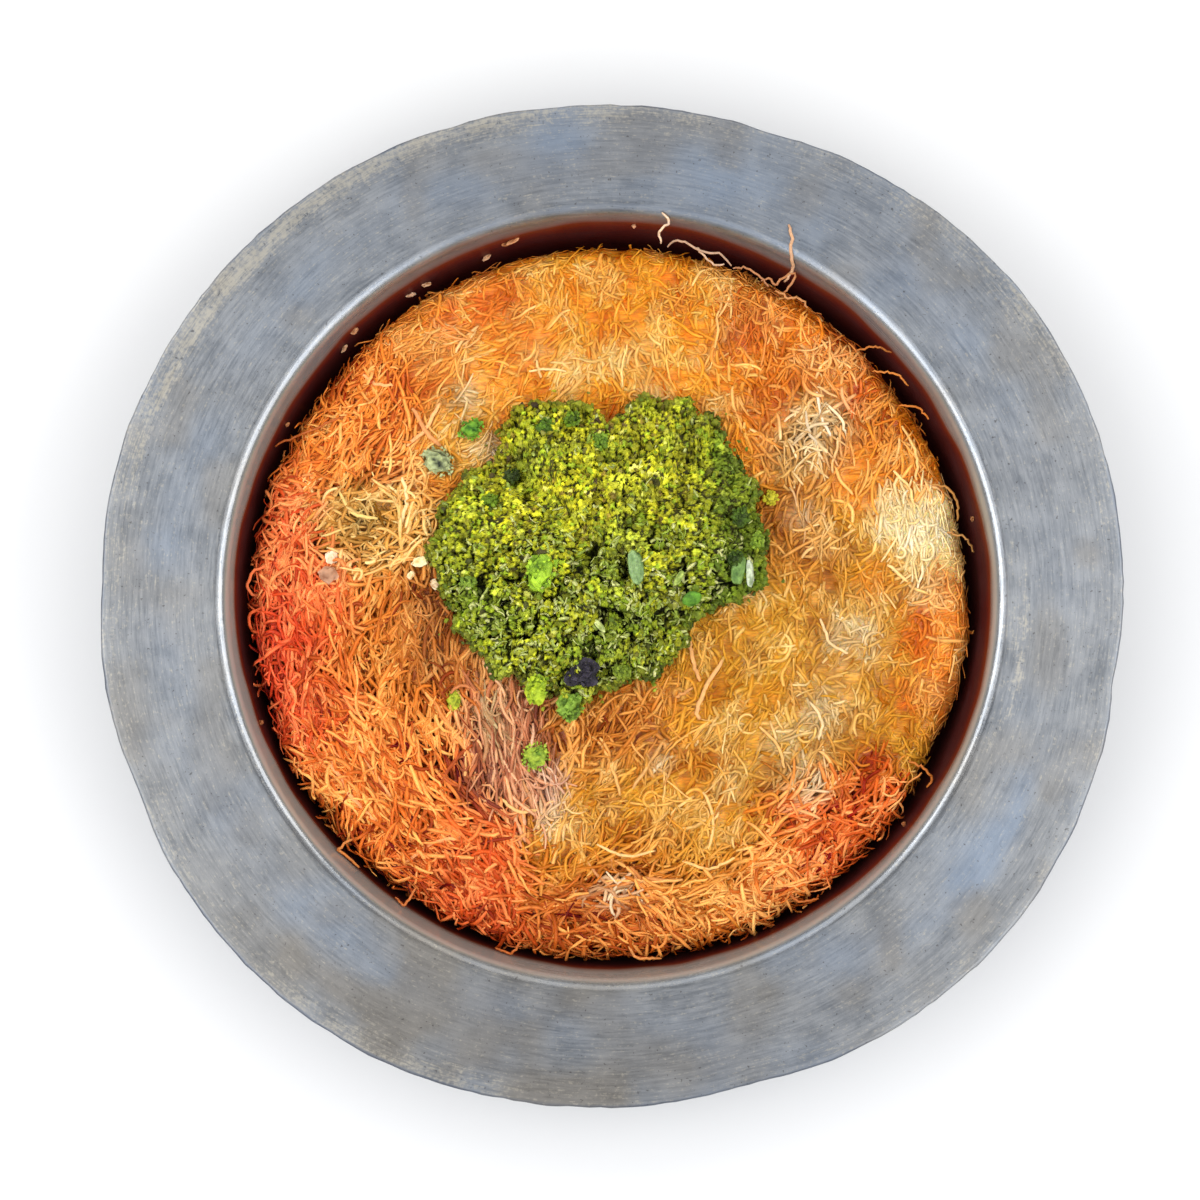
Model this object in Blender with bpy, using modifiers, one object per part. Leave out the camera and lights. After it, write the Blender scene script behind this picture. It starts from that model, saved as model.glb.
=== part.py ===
"""Kunafa in its tray.

A round of fine shredded pastry, baked in a shallow metal tray with a broad flat rim and served in
it, with a heap of ground pistachio on top. Three solids: the tray, the kunafa and the pistachio.

Metres, +Z up. The origin is the middle of the flat base, on the axis of the tray's well. +Y is the
side that lies away from the eater. Driving sizes are the real ones, in metres and degrees.
"""

import math
import random

import bmesh
import bpy
from mathutils import Euler, Matrix, Vector, noise
from mathutils.bvhtree import BVHTree

MM = 0.001

# Tray: one sheet, pressed into a flat floor, a steep wall and a broad rim
SHEET = 1.2 * MM
FLOOR_FILLET = 3.0 * MM
FLOOR_FILLET_CENTRE = 62.15 * MM
SHOULDER_RADIUS = 3.0 * MM
SHOULDER_CENTRE = (70.6 * MM, 17.0 * MM)
WALL_LEAN = 10.5
RIM_RISE = 3.0
RIM_END = (89.4 * MM, 20.35 * MM)
TRAY_STEPS = 72

# The rim was cut by hand, so its outline is a little out of round and off the well's axis
RIM_CENTRE = (0.1 * MM, -1.3 * MM)
RIM_HALF_WIDTH = 90.9 * MM
RIM_HALF_DEPTH = 89.1 * MM
RIM_WAVES = ((3, 0.29 * MM, 17.0), (4, 0.5 * MM, -45.0), (5, 0.28 * MM, 30.0))
RIM_NOTCHES = ((70.0, 0.5 * MM), (178.0, 0.6 * MM), (203.0, 0.5 * MM), (286.0, 0.7 * MM),
               (350.0, 0.7 * MM))
NOTCH_WIDTH = 5.0
RIM_WARP = 0.25 * MM
RIM_WARP_TURN = 0.6

# Kunafa: a thick disc with a rounded edge that nearly fills the well
GAP = 0.3 * MM
KUNAFA_BASE = SHEET + GAP
KUNAFA_RADIUS = 63.9 * MM
KUNAFA_TOP = 15.6 * MM
KUNAFA_EDGE_TOP = 13.9 * MM
KUNAFA_EDGE_RADIUS = 6.0 * MM
KUNAFA_EDGE_START = 68.0
KUNAFA_FOOT = (63.7 * MM, 3.9 * MM)
KUNAFA_STEPS = 54
KUNAFA_RINGS = 8
TOP_RELIEF = ((0.65 * MM, 11.0 * MM), (0.6 * MM, 5.0 * MM))
EDGE_RELIEF = ((0.75 * MM, 6.0 * MM), (0.45 * MM, 19.0 * MM))
RELIEF_HEIGHTS = (6.0 * MM, 12.0 * MM)
LEVEL_MARGIN = 3.6 * MM
LEVEL_FADE = 6.0 * MM

# Strands: shreds of pastry that stand clear of the mass, over its top and round its edge
STRAND_WIDTH = 1.0 * MM
STRAND_STEPS = 4
STRAND_SINK = 0.7 * MM
LOOSE_SHARE = 0.4
TOP_STRANDS = 76
TOP_STRAND_REACH = 61.4 * MM
TOP_STRAND_LENGTH = (9.0 * MM, 17.0 * MM)
TOP_STRAND_LIFT = (0.45 * MM, 0.75 * MM)
TOP_STRAND_BEND = 1.5
SWIRL_SIZE = 24.0 * MM
SWIRL_TURN = 3.6
SWIRL_SPREAD = 0.9
EDGE_STRANDS = 44
EDGE_STRAND_HEIGHT = (9.0 * MM, 13.5 * MM)
EDGE_STRAND_LENGTH = (7.0 * MM, 13.0 * MM)
EDGE_STRAND_LIFT = (0.6 * MM, 1.4 * MM)
EDGE_STRAND_BEND = 0.8
EDGE_STRAND_TILT = 0.35
WALL_CLEARANCE = 0.45 * MM

# Pistachio: a low heap, an uneven outline given by its reach in eighteen directions, from +X round
HEAP_BASE = KUNAFA_TOP + GAP
HEAP_CENTRE = (-2.0 * MM, 8.0 * MM)
HEAP_REACH = tuple(reach * MM for reach in
                   (28.8, 30.4, 29.9, 30.2, 26.0, 25.6, 28.0, 25.2, 28.2, 29.8, 28.4, 29.0, 28.4, 28.8, 24.8,
                    22.8, 21.8, 25.0))
HEAP_HEIGHT = 6.6 * MM
HEAP_EDGE_HEIGHT = 1.5 * MM
HEAP_FOOT_SHARE = 0.96
HEAP_STEPS = 28
HEAP_RINGS = 6
HEAP_RELIEF = ((1.3 * MM, 7.0 * MM), (0.9 * MM, 3.2 * MM))
HEAP_LEAST = 0.4 * MM
HEAP_CRUMBS = 48
FOOT_CRUMBS = 24
FOOT_CRUMB_SHARE = (0.97, 1.04)
CRUMB_SIZE = (2.3 * MM, 4.2 * MM)
CRUMB_WIDTH_SHARE = (0.7, 0.95)
CRUMB_HEIGHT_SHARE = (0.6, 0.85)
CRUMB_STANDS = 0.26
CRUMB_UNEVEN = 0.15
FALLEN_STANDS = 0.2

# Crumbs that fell beside the heap: place, length, width and height
FALLEN_CRUMBS = (
    ((-25.2 * MM, 29.8 * MM), (4.4 * MM, 3.2 * MM, 2.2 * MM), 20.0),
    ((-31.0 * MM, 24.0 * MM), (6.6 * MM, 4.6 * MM, 2.6 * MM), -25.0),
    ((-27.8 * MM, -18.9 * MM), (3.0 * MM, 4.2 * MM, 2.2 * MM), 10.0),
    ((-13.3 * MM, -29.0 * MM), (5.0 * MM, 4.6 * MM, 2.4 * MM), 40.0),
    ((28.6 * MM, 17.3 * MM), (2.6 * MM, 2.0 * MM, 1.6 * MM), 0.0),
    ((-34.3 * MM, 5.8 * MM), (3.6 * MM, 2.2 * MM, 1.2 * MM), 15.0),
    ((-50.0 * MM, 5.9 * MM), (3.2 * MM, 4.4 * MM, 1.4 * MM), 10.0),
)

# Colours as red, green, blue from 0 to 1, with roughness and metallic
TRAY_FINISH = ((0.36, 0.38, 0.41), 0.38, 1.0)
KUNAFA_FINISH = ((0.62, 0.27, 0.06), 0.42, 0.0)
PISTACHIO_FINISH = ((0.28, 0.30, 0.04), 0.70, 0.0)

GOLDEN_ANGLE = math.pi * (3.0 - math.sqrt(5.0))
SPACING_JITTER = 0.3
SEED = 12


def remove_everything():
    """Empty the file, so that the part is all it holds."""
    for item in list(bpy.data.objects):
        bpy.data.objects.remove(item, do_unlink=True)


def new_collection(name):
    """A collection in the scene."""
    collection = bpy.data.collections.new(name)
    bpy.context.scene.collection.children.link(collection)
    return collection


def finish(name, colour, roughness, metallic):
    """A material with one colour, roughness and metallic value."""
    material = bpy.data.materials.new(name)
    material.use_nodes = True
    shader = material.node_tree.nodes["Principled BSDF"]
    shader.inputs["Base Color"].default_value = (*colour, 1.0)
    shader.inputs["Roughness"].default_value = roughness
    shader.inputs["Metallic"].default_value = metallic
    material.diffuse_color = (*colour, 1.0)
    return material


def add_object(name, data, collection):
    """An object at the origin with the given mesh or curve."""
    item = bpy.data.objects.new(name, data)
    collection.objects.link(item)
    return item


def evaluated_mesh(item):
    """A mesh of its own, with the object's modifiers or bevel applied."""
    depsgraph = bpy.context.evaluated_depsgraph_get()
    return bpy.data.meshes.new_from_object(item.evaluated_get(depsgraph))


def arc(centre, radius, start, end, steps):
    """Points of an arc in the half section, between two angles from +X in degrees."""
    points = []
    for step in range(steps + 1):
        angle = math.radians(start + (end - start) * step / steps)
        points.append((centre[0] + radius * math.cos(angle), centre[1] + radius * math.sin(angle)))
    return points


def turned(name, profile, steps, collection):
    """A closed shape of revolution about Z, from a half section that goes over the top and down."""
    mesh = bpy.data.meshes.new(name)
    corners = [(radius, 0.0, height) for radius, height in profile]
    edges = [(index, index + 1) for index in range(len(corners) - 1)]
    mesh.from_pydata(corners, edges, [])
    item = add_object(name, mesh, collection)
    screw = item.modifiers.new("turn", "SCREW")
    screw.axis = "Z"
    screw.steps = steps
    screw.render_steps = steps
    screw.use_merge_vertices = True
    screw.merge_threshold = 0.00001
    item.data = evaluated_mesh(item)
    item.modifiers.clear()
    bpy.data.meshes.remove(mesh)
    return item


def smoothstep(low, high, value):
    """0 below low, 1 above high and a smooth rise between them."""
    share = min(max((value - low) / (high - low), 0.0), 1.0)
    return share * share * (3.0 - 2.0 * share)


def angle_between(first, second):
    """How far apart two directions are, in degrees, from 0 to 180."""
    return abs((first - second + 180.0) % 360.0 - 180.0)


def rim_reach(azimuth):
    """Where the hand-cut rim ends, measured from the well's axis, for a direction in degrees."""
    angle = math.radians(azimuth)
    across = math.cos(angle)
    along = math.sin(angle)
    ellipse = 1.0 / math.hypot(across / RIM_HALF_WIDTH, along / RIM_HALF_DEPTH)
    reach = ellipse + RIM_CENTRE[0] * across + RIM_CENTRE[1] * along
    for count, height, turn in RIM_WAVES:
        reach += height * math.cos(count * (angle - math.radians(turn)))
    for place, depth in RIM_NOTCHES:
        reach -= depth * math.exp(-(angle_between(azimuth, place) / NOTCH_WIDTH) ** 2)
    return reach


def tray_profile():
    """The sheet's half section: floor, wall, shoulder and rim, then back along the underside."""
    floor_centre = (FLOOR_FILLET_CENTRE, SHEET + FLOOR_FILLET)
    profile = [(0.0, SHEET)]
    profile += arc(floor_centre, FLOOR_FILLET, -90.0, -WALL_LEAN, 3)
    profile += arc(SHOULDER_CENTRE, SHOULDER_RADIUS, 180.0 - WALL_LEAN, 90.0 + RIM_RISE, 3)
    profile += arc(RIM_END, SHEET / 2.0, 90.0 + RIM_RISE, -90.0 + RIM_RISE, 3)
    profile += arc(SHOULDER_CENTRE, SHOULDER_RADIUS - SHEET, 90.0 + RIM_RISE, 180.0 - WALL_LEAN, 2)
    profile += arc(floor_centre, FLOOR_FILLET + SHEET, -WALL_LEAN, -90.0, 2)
    profile.append((0.0, 0.0))
    return profile


def make_tray(collection):
    """The turned tray, with its rim pushed in and out to the outline it was cut to."""
    tray = turned("tray", tray_profile(), TRAY_STEPS, collection)
    well_edge = SHOULDER_CENTRE[0]
    turned_reach = RIM_END[0] + SHEET / 2.0
    for vertex in tray.data.vertices:
        place = vertex.co
        radius = math.hypot(place.x, place.y)
        if radius <= well_edge:
            continue
        angle = math.atan2(place.y, place.x)
        share = (radius - well_edge) / (turned_reach - well_edge)
        stretch = rim_reach(math.degrees(angle)) - turned_reach
        place.z += RIM_WARP * share * math.sin(2.0 * angle + RIM_WARP_TURN)
        place.x += stretch * share * math.cos(angle)
        place.y += stretch * share * math.sin(angle)
    tray.data.materials.append(finish("worn_aluminium", *TRAY_FINISH))
    return tray


def heap_reach(angle):
    """The pistachio outline's distance from the heap's middle, a smooth curve through its values."""
    turn = (angle / math.tau % 1.0) * len(HEAP_REACH)
    index = int(turn)
    share = turn - index
    before, start, end, after = (HEAP_REACH[(index + step) % len(HEAP_REACH)] for step in (-1, 0, 1, 2))
    slope_in = (end - before) / 2.0
    slope_out = (after - start) / 2.0
    bend_in = 3.0 * (end - start) - 2.0 * slope_in - slope_out
    bend_out = 2.0 * (start - end) + slope_in + slope_out
    return start + share * (slope_in + share * (bend_in + share * bend_out))


def beyond_heap(x, y):
    """How far a place lies outside the pistachio outline; negative under the heap."""
    across = x - HEAP_CENTRE[0]
    along = y - HEAP_CENTRE[1]
    return math.hypot(across, along) - heap_reach(math.atan2(along, across))


def kunafa_profile():
    """Half section of the disc: a gentle crown, a rounded edge, a straight side and a flat base."""
    crown_end = KUNAFA_RADIUS - KUNAFA_EDGE_RADIUS
    profile = [(0.0, KUNAFA_TOP)]
    for ring in range(1, KUNAFA_RINGS + 1):
        radius = crown_end * math.sqrt(ring / KUNAFA_RINGS)
        drop = (KUNAFA_TOP - KUNAFA_EDGE_TOP) * (radius / crown_end) ** 2
        profile.append((radius, KUNAFA_TOP - drop))
    edge_centre = (crown_end, KUNAFA_EDGE_TOP - KUNAFA_EDGE_RADIUS)
    profile += arc(edge_centre, KUNAFA_EDGE_RADIUS, KUNAFA_EDGE_START, 0.0, 3)
    profile.append(KUNAFA_FOOT)
    profile.append((FLOOR_FILLET_CENTRE, KUNAFA_BASE))
    profile.append((0.0, KUNAFA_BASE))
    return profile


def unevenness(place, layers):
    """Smooth random relief at a place, the sum of layers that each have a height and a bump size."""
    total = 0.0
    for index, (height, size) in enumerate(layers):
        shift = Vector((3.1, 5.7, 7.3)) * index
        total += height * noise.noise(place / size + shift)
    return total


def make_kunafa_mass(collection):
    """The body of the pastry, uneven on top and round the edge, level where the heap sits."""
    mass = turned("kunafa", kunafa_profile(), KUNAFA_STEPS, collection)
    crown_end = KUNAFA_RADIUS - KUNAFA_EDGE_RADIUS
    for vertex in mass.data.vertices:
        place = vertex.co
        if place.z < KUNAFA_BASE + GAP:
            continue
        radius = math.hypot(place.x, place.y)
        beyond = beyond_heap(place.x, place.y)
        loose = smoothstep(LEVEL_MARGIN, LEVEL_MARGIN + LEVEL_FADE, beyond)
        upper = smoothstep(*RELIEF_HEIGHTS, place.z)
        edge = smoothstep(crown_end, KUNAFA_RADIUS, radius)
        swell = 1.0 + edge * upper * unevenness(place, EDGE_RELIEF) / KUNAFA_RADIUS
        if radius < crown_end:
            place.z = KUNAFA_TOP + loose * (place.z - KUNAFA_TOP)
        place.z += loose * upper * unevenness(place, TOP_RELIEF)
        place.x *= swell
        place.y *= swell
    return mass


def surface_of(item):
    """The object's surface, for finding the nearest place on it."""
    shape = bmesh.new()
    shape.from_mesh(item.data)
    tree = BVHTree.FromBMesh(shape)
    shape.free()
    return tree


def wall_limit(height):
    """How far out from the axis a strand may reach at a height and stay clear of the tray."""
    foot = FLOOR_FILLET_CENTRE + FLOOR_FILLET * math.cos(math.radians(WALL_LEAN))
    rise = max(height - SHEET - FLOOR_FILLET, 0.0)
    return foot + rise * math.tan(math.radians(WALL_LEAN)) - WALL_CLEARANCE - STRAND_WIDTH / 2.0


def strand_path(surface, start, heading, length, bend, lift, loose=False):
    """A walk over the surface on a bend: it comes out of the pastry, runs clear of it and goes in.

    The far end of a loose strand stays out.
    """
    place, normal, _, _ = surface.find_nearest(start)
    heading = (heading - normal * heading.dot(normal)).normalized()
    stride = length / STRAND_STEPS
    points = []
    for step in range(STRAND_STEPS + 1):
        buried = step == 0 or (step == STRAND_STEPS and not loose)
        point = place + normal * (-STRAND_SINK if buried else lift)
        reach = math.hypot(point.x, point.y)
        limit = wall_limit(point.z)
        if reach > limit:
            point.x *= limit / reach
            point.y *= limit / reach
        points.append(point)
        heading = Matrix.Rotation(bend / STRAND_STEPS, 3, normal) @ heading
        place, normal, _, _ = surface.find_nearest(place + heading * stride)
        heading = (heading - normal * heading.dot(normal)).normalized()
    return points


def strand_section(collection):
    """A small triangle, the cross-section that every strand is swept with."""
    half = STRAND_WIDTH / 2.0
    curve = bpy.data.curves.new("strand_section", "CURVE")
    spline = curve.splines.new("POLY")
    spline.points.add(2)
    for index, point in enumerate(spline.points):
        angle = -math.tau * index / 3.0
        point.co = (half * math.cos(angle), half * math.sin(angle), 0.0, 1.0)
    spline.use_cyclic_u = True
    return add_object("strand_section", curve, collection)


def strand_curve(name, points, section, collection):
    """A strand as a curve swept with the triangle, its ends closed."""
    curve = bpy.data.curves.new(name, "CURVE")
    curve.dimensions = "3D"
    curve.bevel_mode = "OBJECT"
    curve.bevel_object = section
    curve.use_fill_caps = True
    spline = curve.splines.new("POLY")
    spline.points.add(len(points) - 1)
    for target, point in zip(spline.points, points):
        target.co = (*point, 1.0)
    return add_object(name, curve, collection)


def curves_to_meshes(curves, collection):
    """Closed meshes in place of the curves."""
    depsgraph = bpy.context.evaluated_depsgraph_get()
    for curve in curves:
        mesh = bpy.data.meshes.new_from_object(curve.evaluated_get(depsgraph))
        shape = bmesh.new()
        shape.from_mesh(mesh)
        bmesh.ops.remove_doubles(shape, verts=shape.verts, dist=0.005 * MM)
        bmesh.ops.recalc_face_normals(shape, faces=shape.faces)
        shape.to_mesh(mesh)
        shape.free()
        add_object(curve.name + "_mesh", mesh, collection)
        bpy.data.objects.remove(curve, do_unlink=True)


def clear_of_heap(points):
    """True where no point of a strand comes near the pistachio."""
    return all(beyond_heap(point.x, point.y) > LEVEL_MARGIN for point in points)


def top_strands(surface, draw):
    """Strands over the crown, spread evenly and swirling together in patches."""
    places = 2 * TOP_STRANDS
    count = 0
    step = 0
    while count < TOP_STRANDS:
        step += 1
        radius = TOP_STRAND_REACH * math.sqrt((step % places) / places)
        azimuth = step * GOLDEN_ANGLE
        start = Vector((radius * math.cos(azimuth), radius * math.sin(azimuth), KUNAFA_TOP))
        swirl = SWIRL_TURN * noise.noise(start / SWIRL_SIZE)
        turn = azimuth + swirl + draw.uniform(-SWIRL_SPREAD, SWIRL_SPREAD)
        heading = Vector((math.cos(turn), math.sin(turn), 0.0))
        length = draw.uniform(*TOP_STRAND_LENGTH)
        bend = draw.uniform(-TOP_STRAND_BEND, TOP_STRAND_BEND)
        lift = draw.uniform(*TOP_STRAND_LIFT)
        loose = draw.random() < LOOSE_SHARE
        points = strand_path(surface, start, heading, length, bend, lift, loose)
        if clear_of_heap(points):
            count += 1
            yield points


def edge_strands(surface, draw):
    """Strands and loops that hang round the edge, into the gap before the tray's wall."""
    for index in range(EDGE_STRANDS):
        azimuth = math.tau * (index + draw.uniform(-SPACING_JITTER, SPACING_JITTER)) / EDGE_STRANDS
        height = draw.uniform(*EDGE_STRAND_HEIGHT)
        start = Vector((KUNAFA_RADIUS * math.cos(azimuth), KUNAFA_RADIUS * math.sin(azimuth), height))
        tilt = draw.uniform(-EDGE_STRAND_TILT, EDGE_STRAND_TILT)
        side = draw.choice((-1.0, 1.0))
        heading = Vector((-side * math.sin(azimuth), side * math.cos(azimuth), tilt))
        length = draw.uniform(*EDGE_STRAND_LENGTH)
        bend = draw.uniform(-EDGE_STRAND_BEND, EDGE_STRAND_BEND)
        lift = draw.uniform(*EDGE_STRAND_LIFT)
        loose = draw.random() < LOOSE_SHARE
        yield strand_path(surface, start, heading, length, bend, lift, loose)


def crumb(name, place, size, turn, collection, draw):
    """One angular crumb, an icosahedron stretched to its size with its corners out of true."""
    bpy.ops.mesh.primitive_ico_sphere_add(subdivisions=1, radius=0.5, location=(0.0, 0.0, 0.0))
    item = bpy.context.object
    item.name = name
    for vertex in item.data.vertices:
        vertex.co *= draw.uniform(1.0 - CRUMB_UNEVEN, 1.0 + CRUMB_UNEVEN)
    scale = Matrix.Diagonal((*size, 1.0))
    item.data.transform(Matrix.Translation(place) @ turn.to_matrix().to_4x4() @ scale)
    for owner in list(item.users_collection):
        owner.objects.unlink(item)
    collection.objects.link(item)
    return item


def fallen_crumbs(surface, collection, draw):
    """The pistachio crumbs and pastry flakes that lie on the kunafa beside the heap."""
    for index, (spot, size, turn) in enumerate(FALLEN_CRUMBS):
        above = Vector((spot[0], spot[1], KUNAFA_TOP))
        place, _, _, _ = surface.find_nearest(above)
        place = place + Vector((0.0, 0.0, FALLEN_STANDS * size[2]))
        turned_to = Euler((0.0, 0.0, math.radians(turn)))
        crumb(f"fallen_{index}", place, size, turned_to, collection, draw)


def outer_shell(item):
    """Keep the largest closed piece of the mesh, without sealed hollows or loose scraps."""
    shape = bmesh.new()
    shape.from_mesh(item.data)
    left = set(shape.verts)
    islands = []
    while left:
        front = [left.pop()]
        island = set(front)
        while front:
            for edge in front.pop().link_edges:
                for vertex in edge.verts:
                    if vertex in left:
                        left.remove(vertex)
                        island.add(vertex)
                        front.append(vertex)
        islands.append(island)
    islands.sort(key=len)
    for island in islands[:-1]:
        bmesh.ops.delete(shape, geom=list(island), context="VERTS")
    shape.to_mesh(item.data)
    shape.free()


def fuse(item, pieces):
    """Join the pieces to the object by one union, and drop the pieces."""
    union = item.modifiers.new("fuse", "BOOLEAN")
    union.operation = "UNION"
    union.operand_type = "COLLECTION"
    union.collection = pieces
    union.solver = "MANIFOLD"
    fused = evaluated_mesh(item)
    item.modifiers.clear()
    item.data = fused
    for piece in list(pieces.objects):
        bpy.data.objects.remove(piece, do_unlink=True)
    bpy.data.collections.remove(pieces)
    outer_shell(item)


def make_kunafa(collection):
    """The pastry mass with its strands and the fallen crumbs fused on."""
    draw = random.Random(SEED)
    kunafa = make_kunafa_mass(collection)
    surface = surface_of(kunafa)
    guides = new_collection("kunafa_guides")
    shreds = new_collection("kunafa_shreds")
    section = strand_section(guides)
    curves = []
    for points in top_strands(surface, draw):
        curves.append(strand_curve(f"shred_{len(curves):03d}", points, section, guides))
    for points in edge_strands(surface, draw):
        curves.append(strand_curve(f"shred_{len(curves):03d}", points, section, guides))
    curves_to_meshes(curves, shreds)
    bpy.data.objects.remove(section, do_unlink=True)
    bpy.data.collections.remove(guides)
    fallen_crumbs(surface, shreds, draw)
    fuse(kunafa, shreds)
    kunafa.data.materials.clear()
    kunafa.data.materials.append(finish("baked_pastry", *KUNAFA_FINISH))
    return kunafa


def heap_crown(share):
    """Height of the mound over its base, from its middle at 0 to its outline at 1."""
    return HEAP_EDGE_HEIGHT + (HEAP_HEIGHT - HEAP_EDGE_HEIGHT) * (1.0 - share ** 2)


def heap_profile():
    """Half section of the heap on a unit reach: a low crown, a steep crumbly edge, a flat base."""
    profile = []
    for ring in range(HEAP_RINGS + 1):
        share = math.sin(math.pi / 2.0 * ring / (HEAP_RINGS + 1))
        profile.append((share, HEAP_BASE + heap_crown(share)))
    profile.append((1.0, HEAP_BASE + HEAP_EDGE_HEIGHT / 2.0))
    profile.append((HEAP_FOOT_SHARE, HEAP_BASE))
    profile.append((0.0, HEAP_BASE))
    return profile


def make_heap_mass(collection):
    """The packed inside of the heap, lumpy on top and flat where it rests on the pastry."""
    mass = turned("pistachio_heap", heap_profile(), HEAP_STEPS, collection)
    for vertex in mass.data.vertices:
        place = vertex.co
        reach = heap_reach(math.atan2(place.y, place.x))
        place.x = HEAP_CENTRE[0] + place.x * reach
        place.y = HEAP_CENTRE[1] + place.y * reach
        if place.z > HEAP_BASE + HEAP_LEAST:
            place.z = max(place.z + unevenness(place, HEAP_RELIEF), HEAP_BASE + HEAP_LEAST)
    return mass


def heap_spots(draw):
    """Where the crumbs lie: an even spiral over the mound, then a ragged ring round its foot."""
    for index in range(HEAP_CRUMBS):
        yield index * GOLDEN_ANGLE, FOOT_CRUMB_SHARE[0] * math.sqrt((index + 0.5) / HEAP_CRUMBS)
    for index in range(FOOT_CRUMBS):
        turn = (index + draw.uniform(-SPACING_JITTER, SPACING_JITTER)) / FOOT_CRUMBS
        yield math.tau * turn, draw.uniform(*FOOT_CRUMB_SHARE)


def make_heap(collection):
    """The heap with its largest crumbs fused on, spread evenly over it."""
    draw = random.Random(SEED + 1)
    heap = make_heap_mass(collection)
    surface = surface_of(heap)
    crumbs = new_collection("heap_crumbs")
    for index, (angle, share) in enumerate(heap_spots(draw)):
        reach = share * heap_reach(angle)
        above = Vector((HEAP_CENTRE[0] + reach * math.cos(angle),
                        HEAP_CENTRE[1] + reach * math.sin(angle), HEAP_BASE + heap_crown(share)))
        place, _, _, _ = surface.find_nearest(above)
        length = draw.uniform(*CRUMB_SIZE)
        size = (length, length * draw.uniform(*CRUMB_WIDTH_SHARE), length * draw.uniform(*CRUMB_HEIGHT_SHARE))
        half_diagonal = length * (1.0 + CRUMB_UNEVEN) / 2.0
        height = max(place.z + CRUMB_STANDS * length, HEAP_BASE + half_diagonal)
        turn = Euler([draw.uniform(0.0, math.tau) for _ in range(3)])
        crumb(f"crumb_{index:03d}", Vector((place.x, place.y, height)), size, turn, crumbs, draw)
    fuse(heap, crumbs)
    heap.data.materials.clear()
    heap.data.materials.append(finish("ground_pistachio", *PISTACHIO_FINISH))
    return heap


def main():
    """Build the three solids in one collection."""
    remove_everything()
    collection = new_collection("kunafa_in_tray")
    tray = make_tray(collection)
    tray.data.shade_smooth()
    tray.data.set_sharp_from_angle(angle=math.radians(40.0))
    make_kunafa(collection).data.shade_flat()
    make_heap(collection).data.shade_flat()


main()
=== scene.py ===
"""Kunafa in its tray, dressed round the fixed solids.

Shredded dough, baked and soaked in butter and syrup, lies in a worn aluminium tray under a heap of
ground pistachio. Lengths are in millimetres until a mesh is written. +Y lies away from the eater.
"""

import math

import bpy
import numpy as np
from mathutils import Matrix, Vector, noise


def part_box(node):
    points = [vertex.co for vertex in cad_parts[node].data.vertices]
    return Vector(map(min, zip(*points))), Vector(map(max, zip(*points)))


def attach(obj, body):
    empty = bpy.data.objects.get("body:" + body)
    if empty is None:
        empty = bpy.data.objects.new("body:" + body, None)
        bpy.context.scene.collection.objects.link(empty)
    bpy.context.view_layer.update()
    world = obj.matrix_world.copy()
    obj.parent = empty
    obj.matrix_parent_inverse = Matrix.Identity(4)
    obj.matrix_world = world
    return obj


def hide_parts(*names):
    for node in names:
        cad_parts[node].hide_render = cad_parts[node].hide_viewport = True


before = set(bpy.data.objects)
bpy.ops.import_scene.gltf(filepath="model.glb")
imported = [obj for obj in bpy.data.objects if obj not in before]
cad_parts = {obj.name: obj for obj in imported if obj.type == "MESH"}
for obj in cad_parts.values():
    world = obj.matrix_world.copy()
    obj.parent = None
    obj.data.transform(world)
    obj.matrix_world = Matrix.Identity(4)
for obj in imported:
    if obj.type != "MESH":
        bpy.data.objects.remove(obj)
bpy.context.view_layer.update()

MM = 0.001
RANDOM_GRID = 64

# Tray: the sheet's profile and its hand-cut outline, as the solid has them
SHEET = 1.2
FLOOR_FILLET = 3.0
FLOOR_FILLET_CENTRE = (62.15, SHEET + FLOOR_FILLET)
SHOULDER_RADIUS = 3.0
SHOULDER_CENTRE = (70.6, 17.0)
WALL_LEAN = 10.5
RIM_RISE = 3.0
RIM_END = (89.4, 20.35)
RIM_CENTRE = (0.1, -1.3)
RIM_HALF_WIDTH = 90.9
RIM_HALF_DEPTH = 89.1
RIM_WAVES = ((3, 0.29, 17.0), (4, 0.5, -45.0), (5, 0.28, 30.0))
RIM_NOTCHES = ((70.0, 0.5), (178.0, 0.6), (203.0, 0.5), (286.0, 0.7), (350.0, 0.7))
NOTCH_WIDTH = 5.0
RIM_WARP = 0.25
RIM_WARP_TURN = 0.6

# Pastry: its half section and relief, as the solid has them
PASTRY_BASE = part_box("kunafa")[0].z / MM
PASTRY_RADIUS = 63.9
PASTRY_TOP = 15.6
PASTRY_EDGE_TOP = 13.9
PASTRY_EDGE_RADIUS = 6.0
PASTRY_EDGE_START = 68.0
PASTRY_FOOT = (63.7, 3.9)
TOP_RELIEF = ((0.65, 11.0), (0.6, 5.0))
EDGE_RELIEF = ((0.75, 6.0), (0.45, 19.0))
LEVEL_MARGIN = 3.6
LEVEL_FADE = 6.0

# Pistachio: the heap's outline, crown and relief, as the solid has them
HEAP_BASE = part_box("pistachio_heap")[0].z / MM
HEAP_CENTRE = (-2.0, 8.0)
HEAP_REACH = (28.8, 30.4, 29.9, 30.2, 26.0, 25.6, 28.0, 25.2, 28.2,
              29.8, 28.4, 29.0, 28.4, 28.8, 24.8, 22.8, 21.8, 25.0)
HEAP_HEIGHT = 6.6
HEAP_EDGE_HEIGHT = 1.5
HEAP_RELIEF = ((1.3, 7.0), (0.9, 3.2))


def smoothstep(low, high, value):
    """0 at low, 1 at high and a smooth rise between them."""
    share = np.clip((value - low) / (high - low), 0.0, 1.0)
    return share * share * (3.0 - 2.0 * share)


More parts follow.
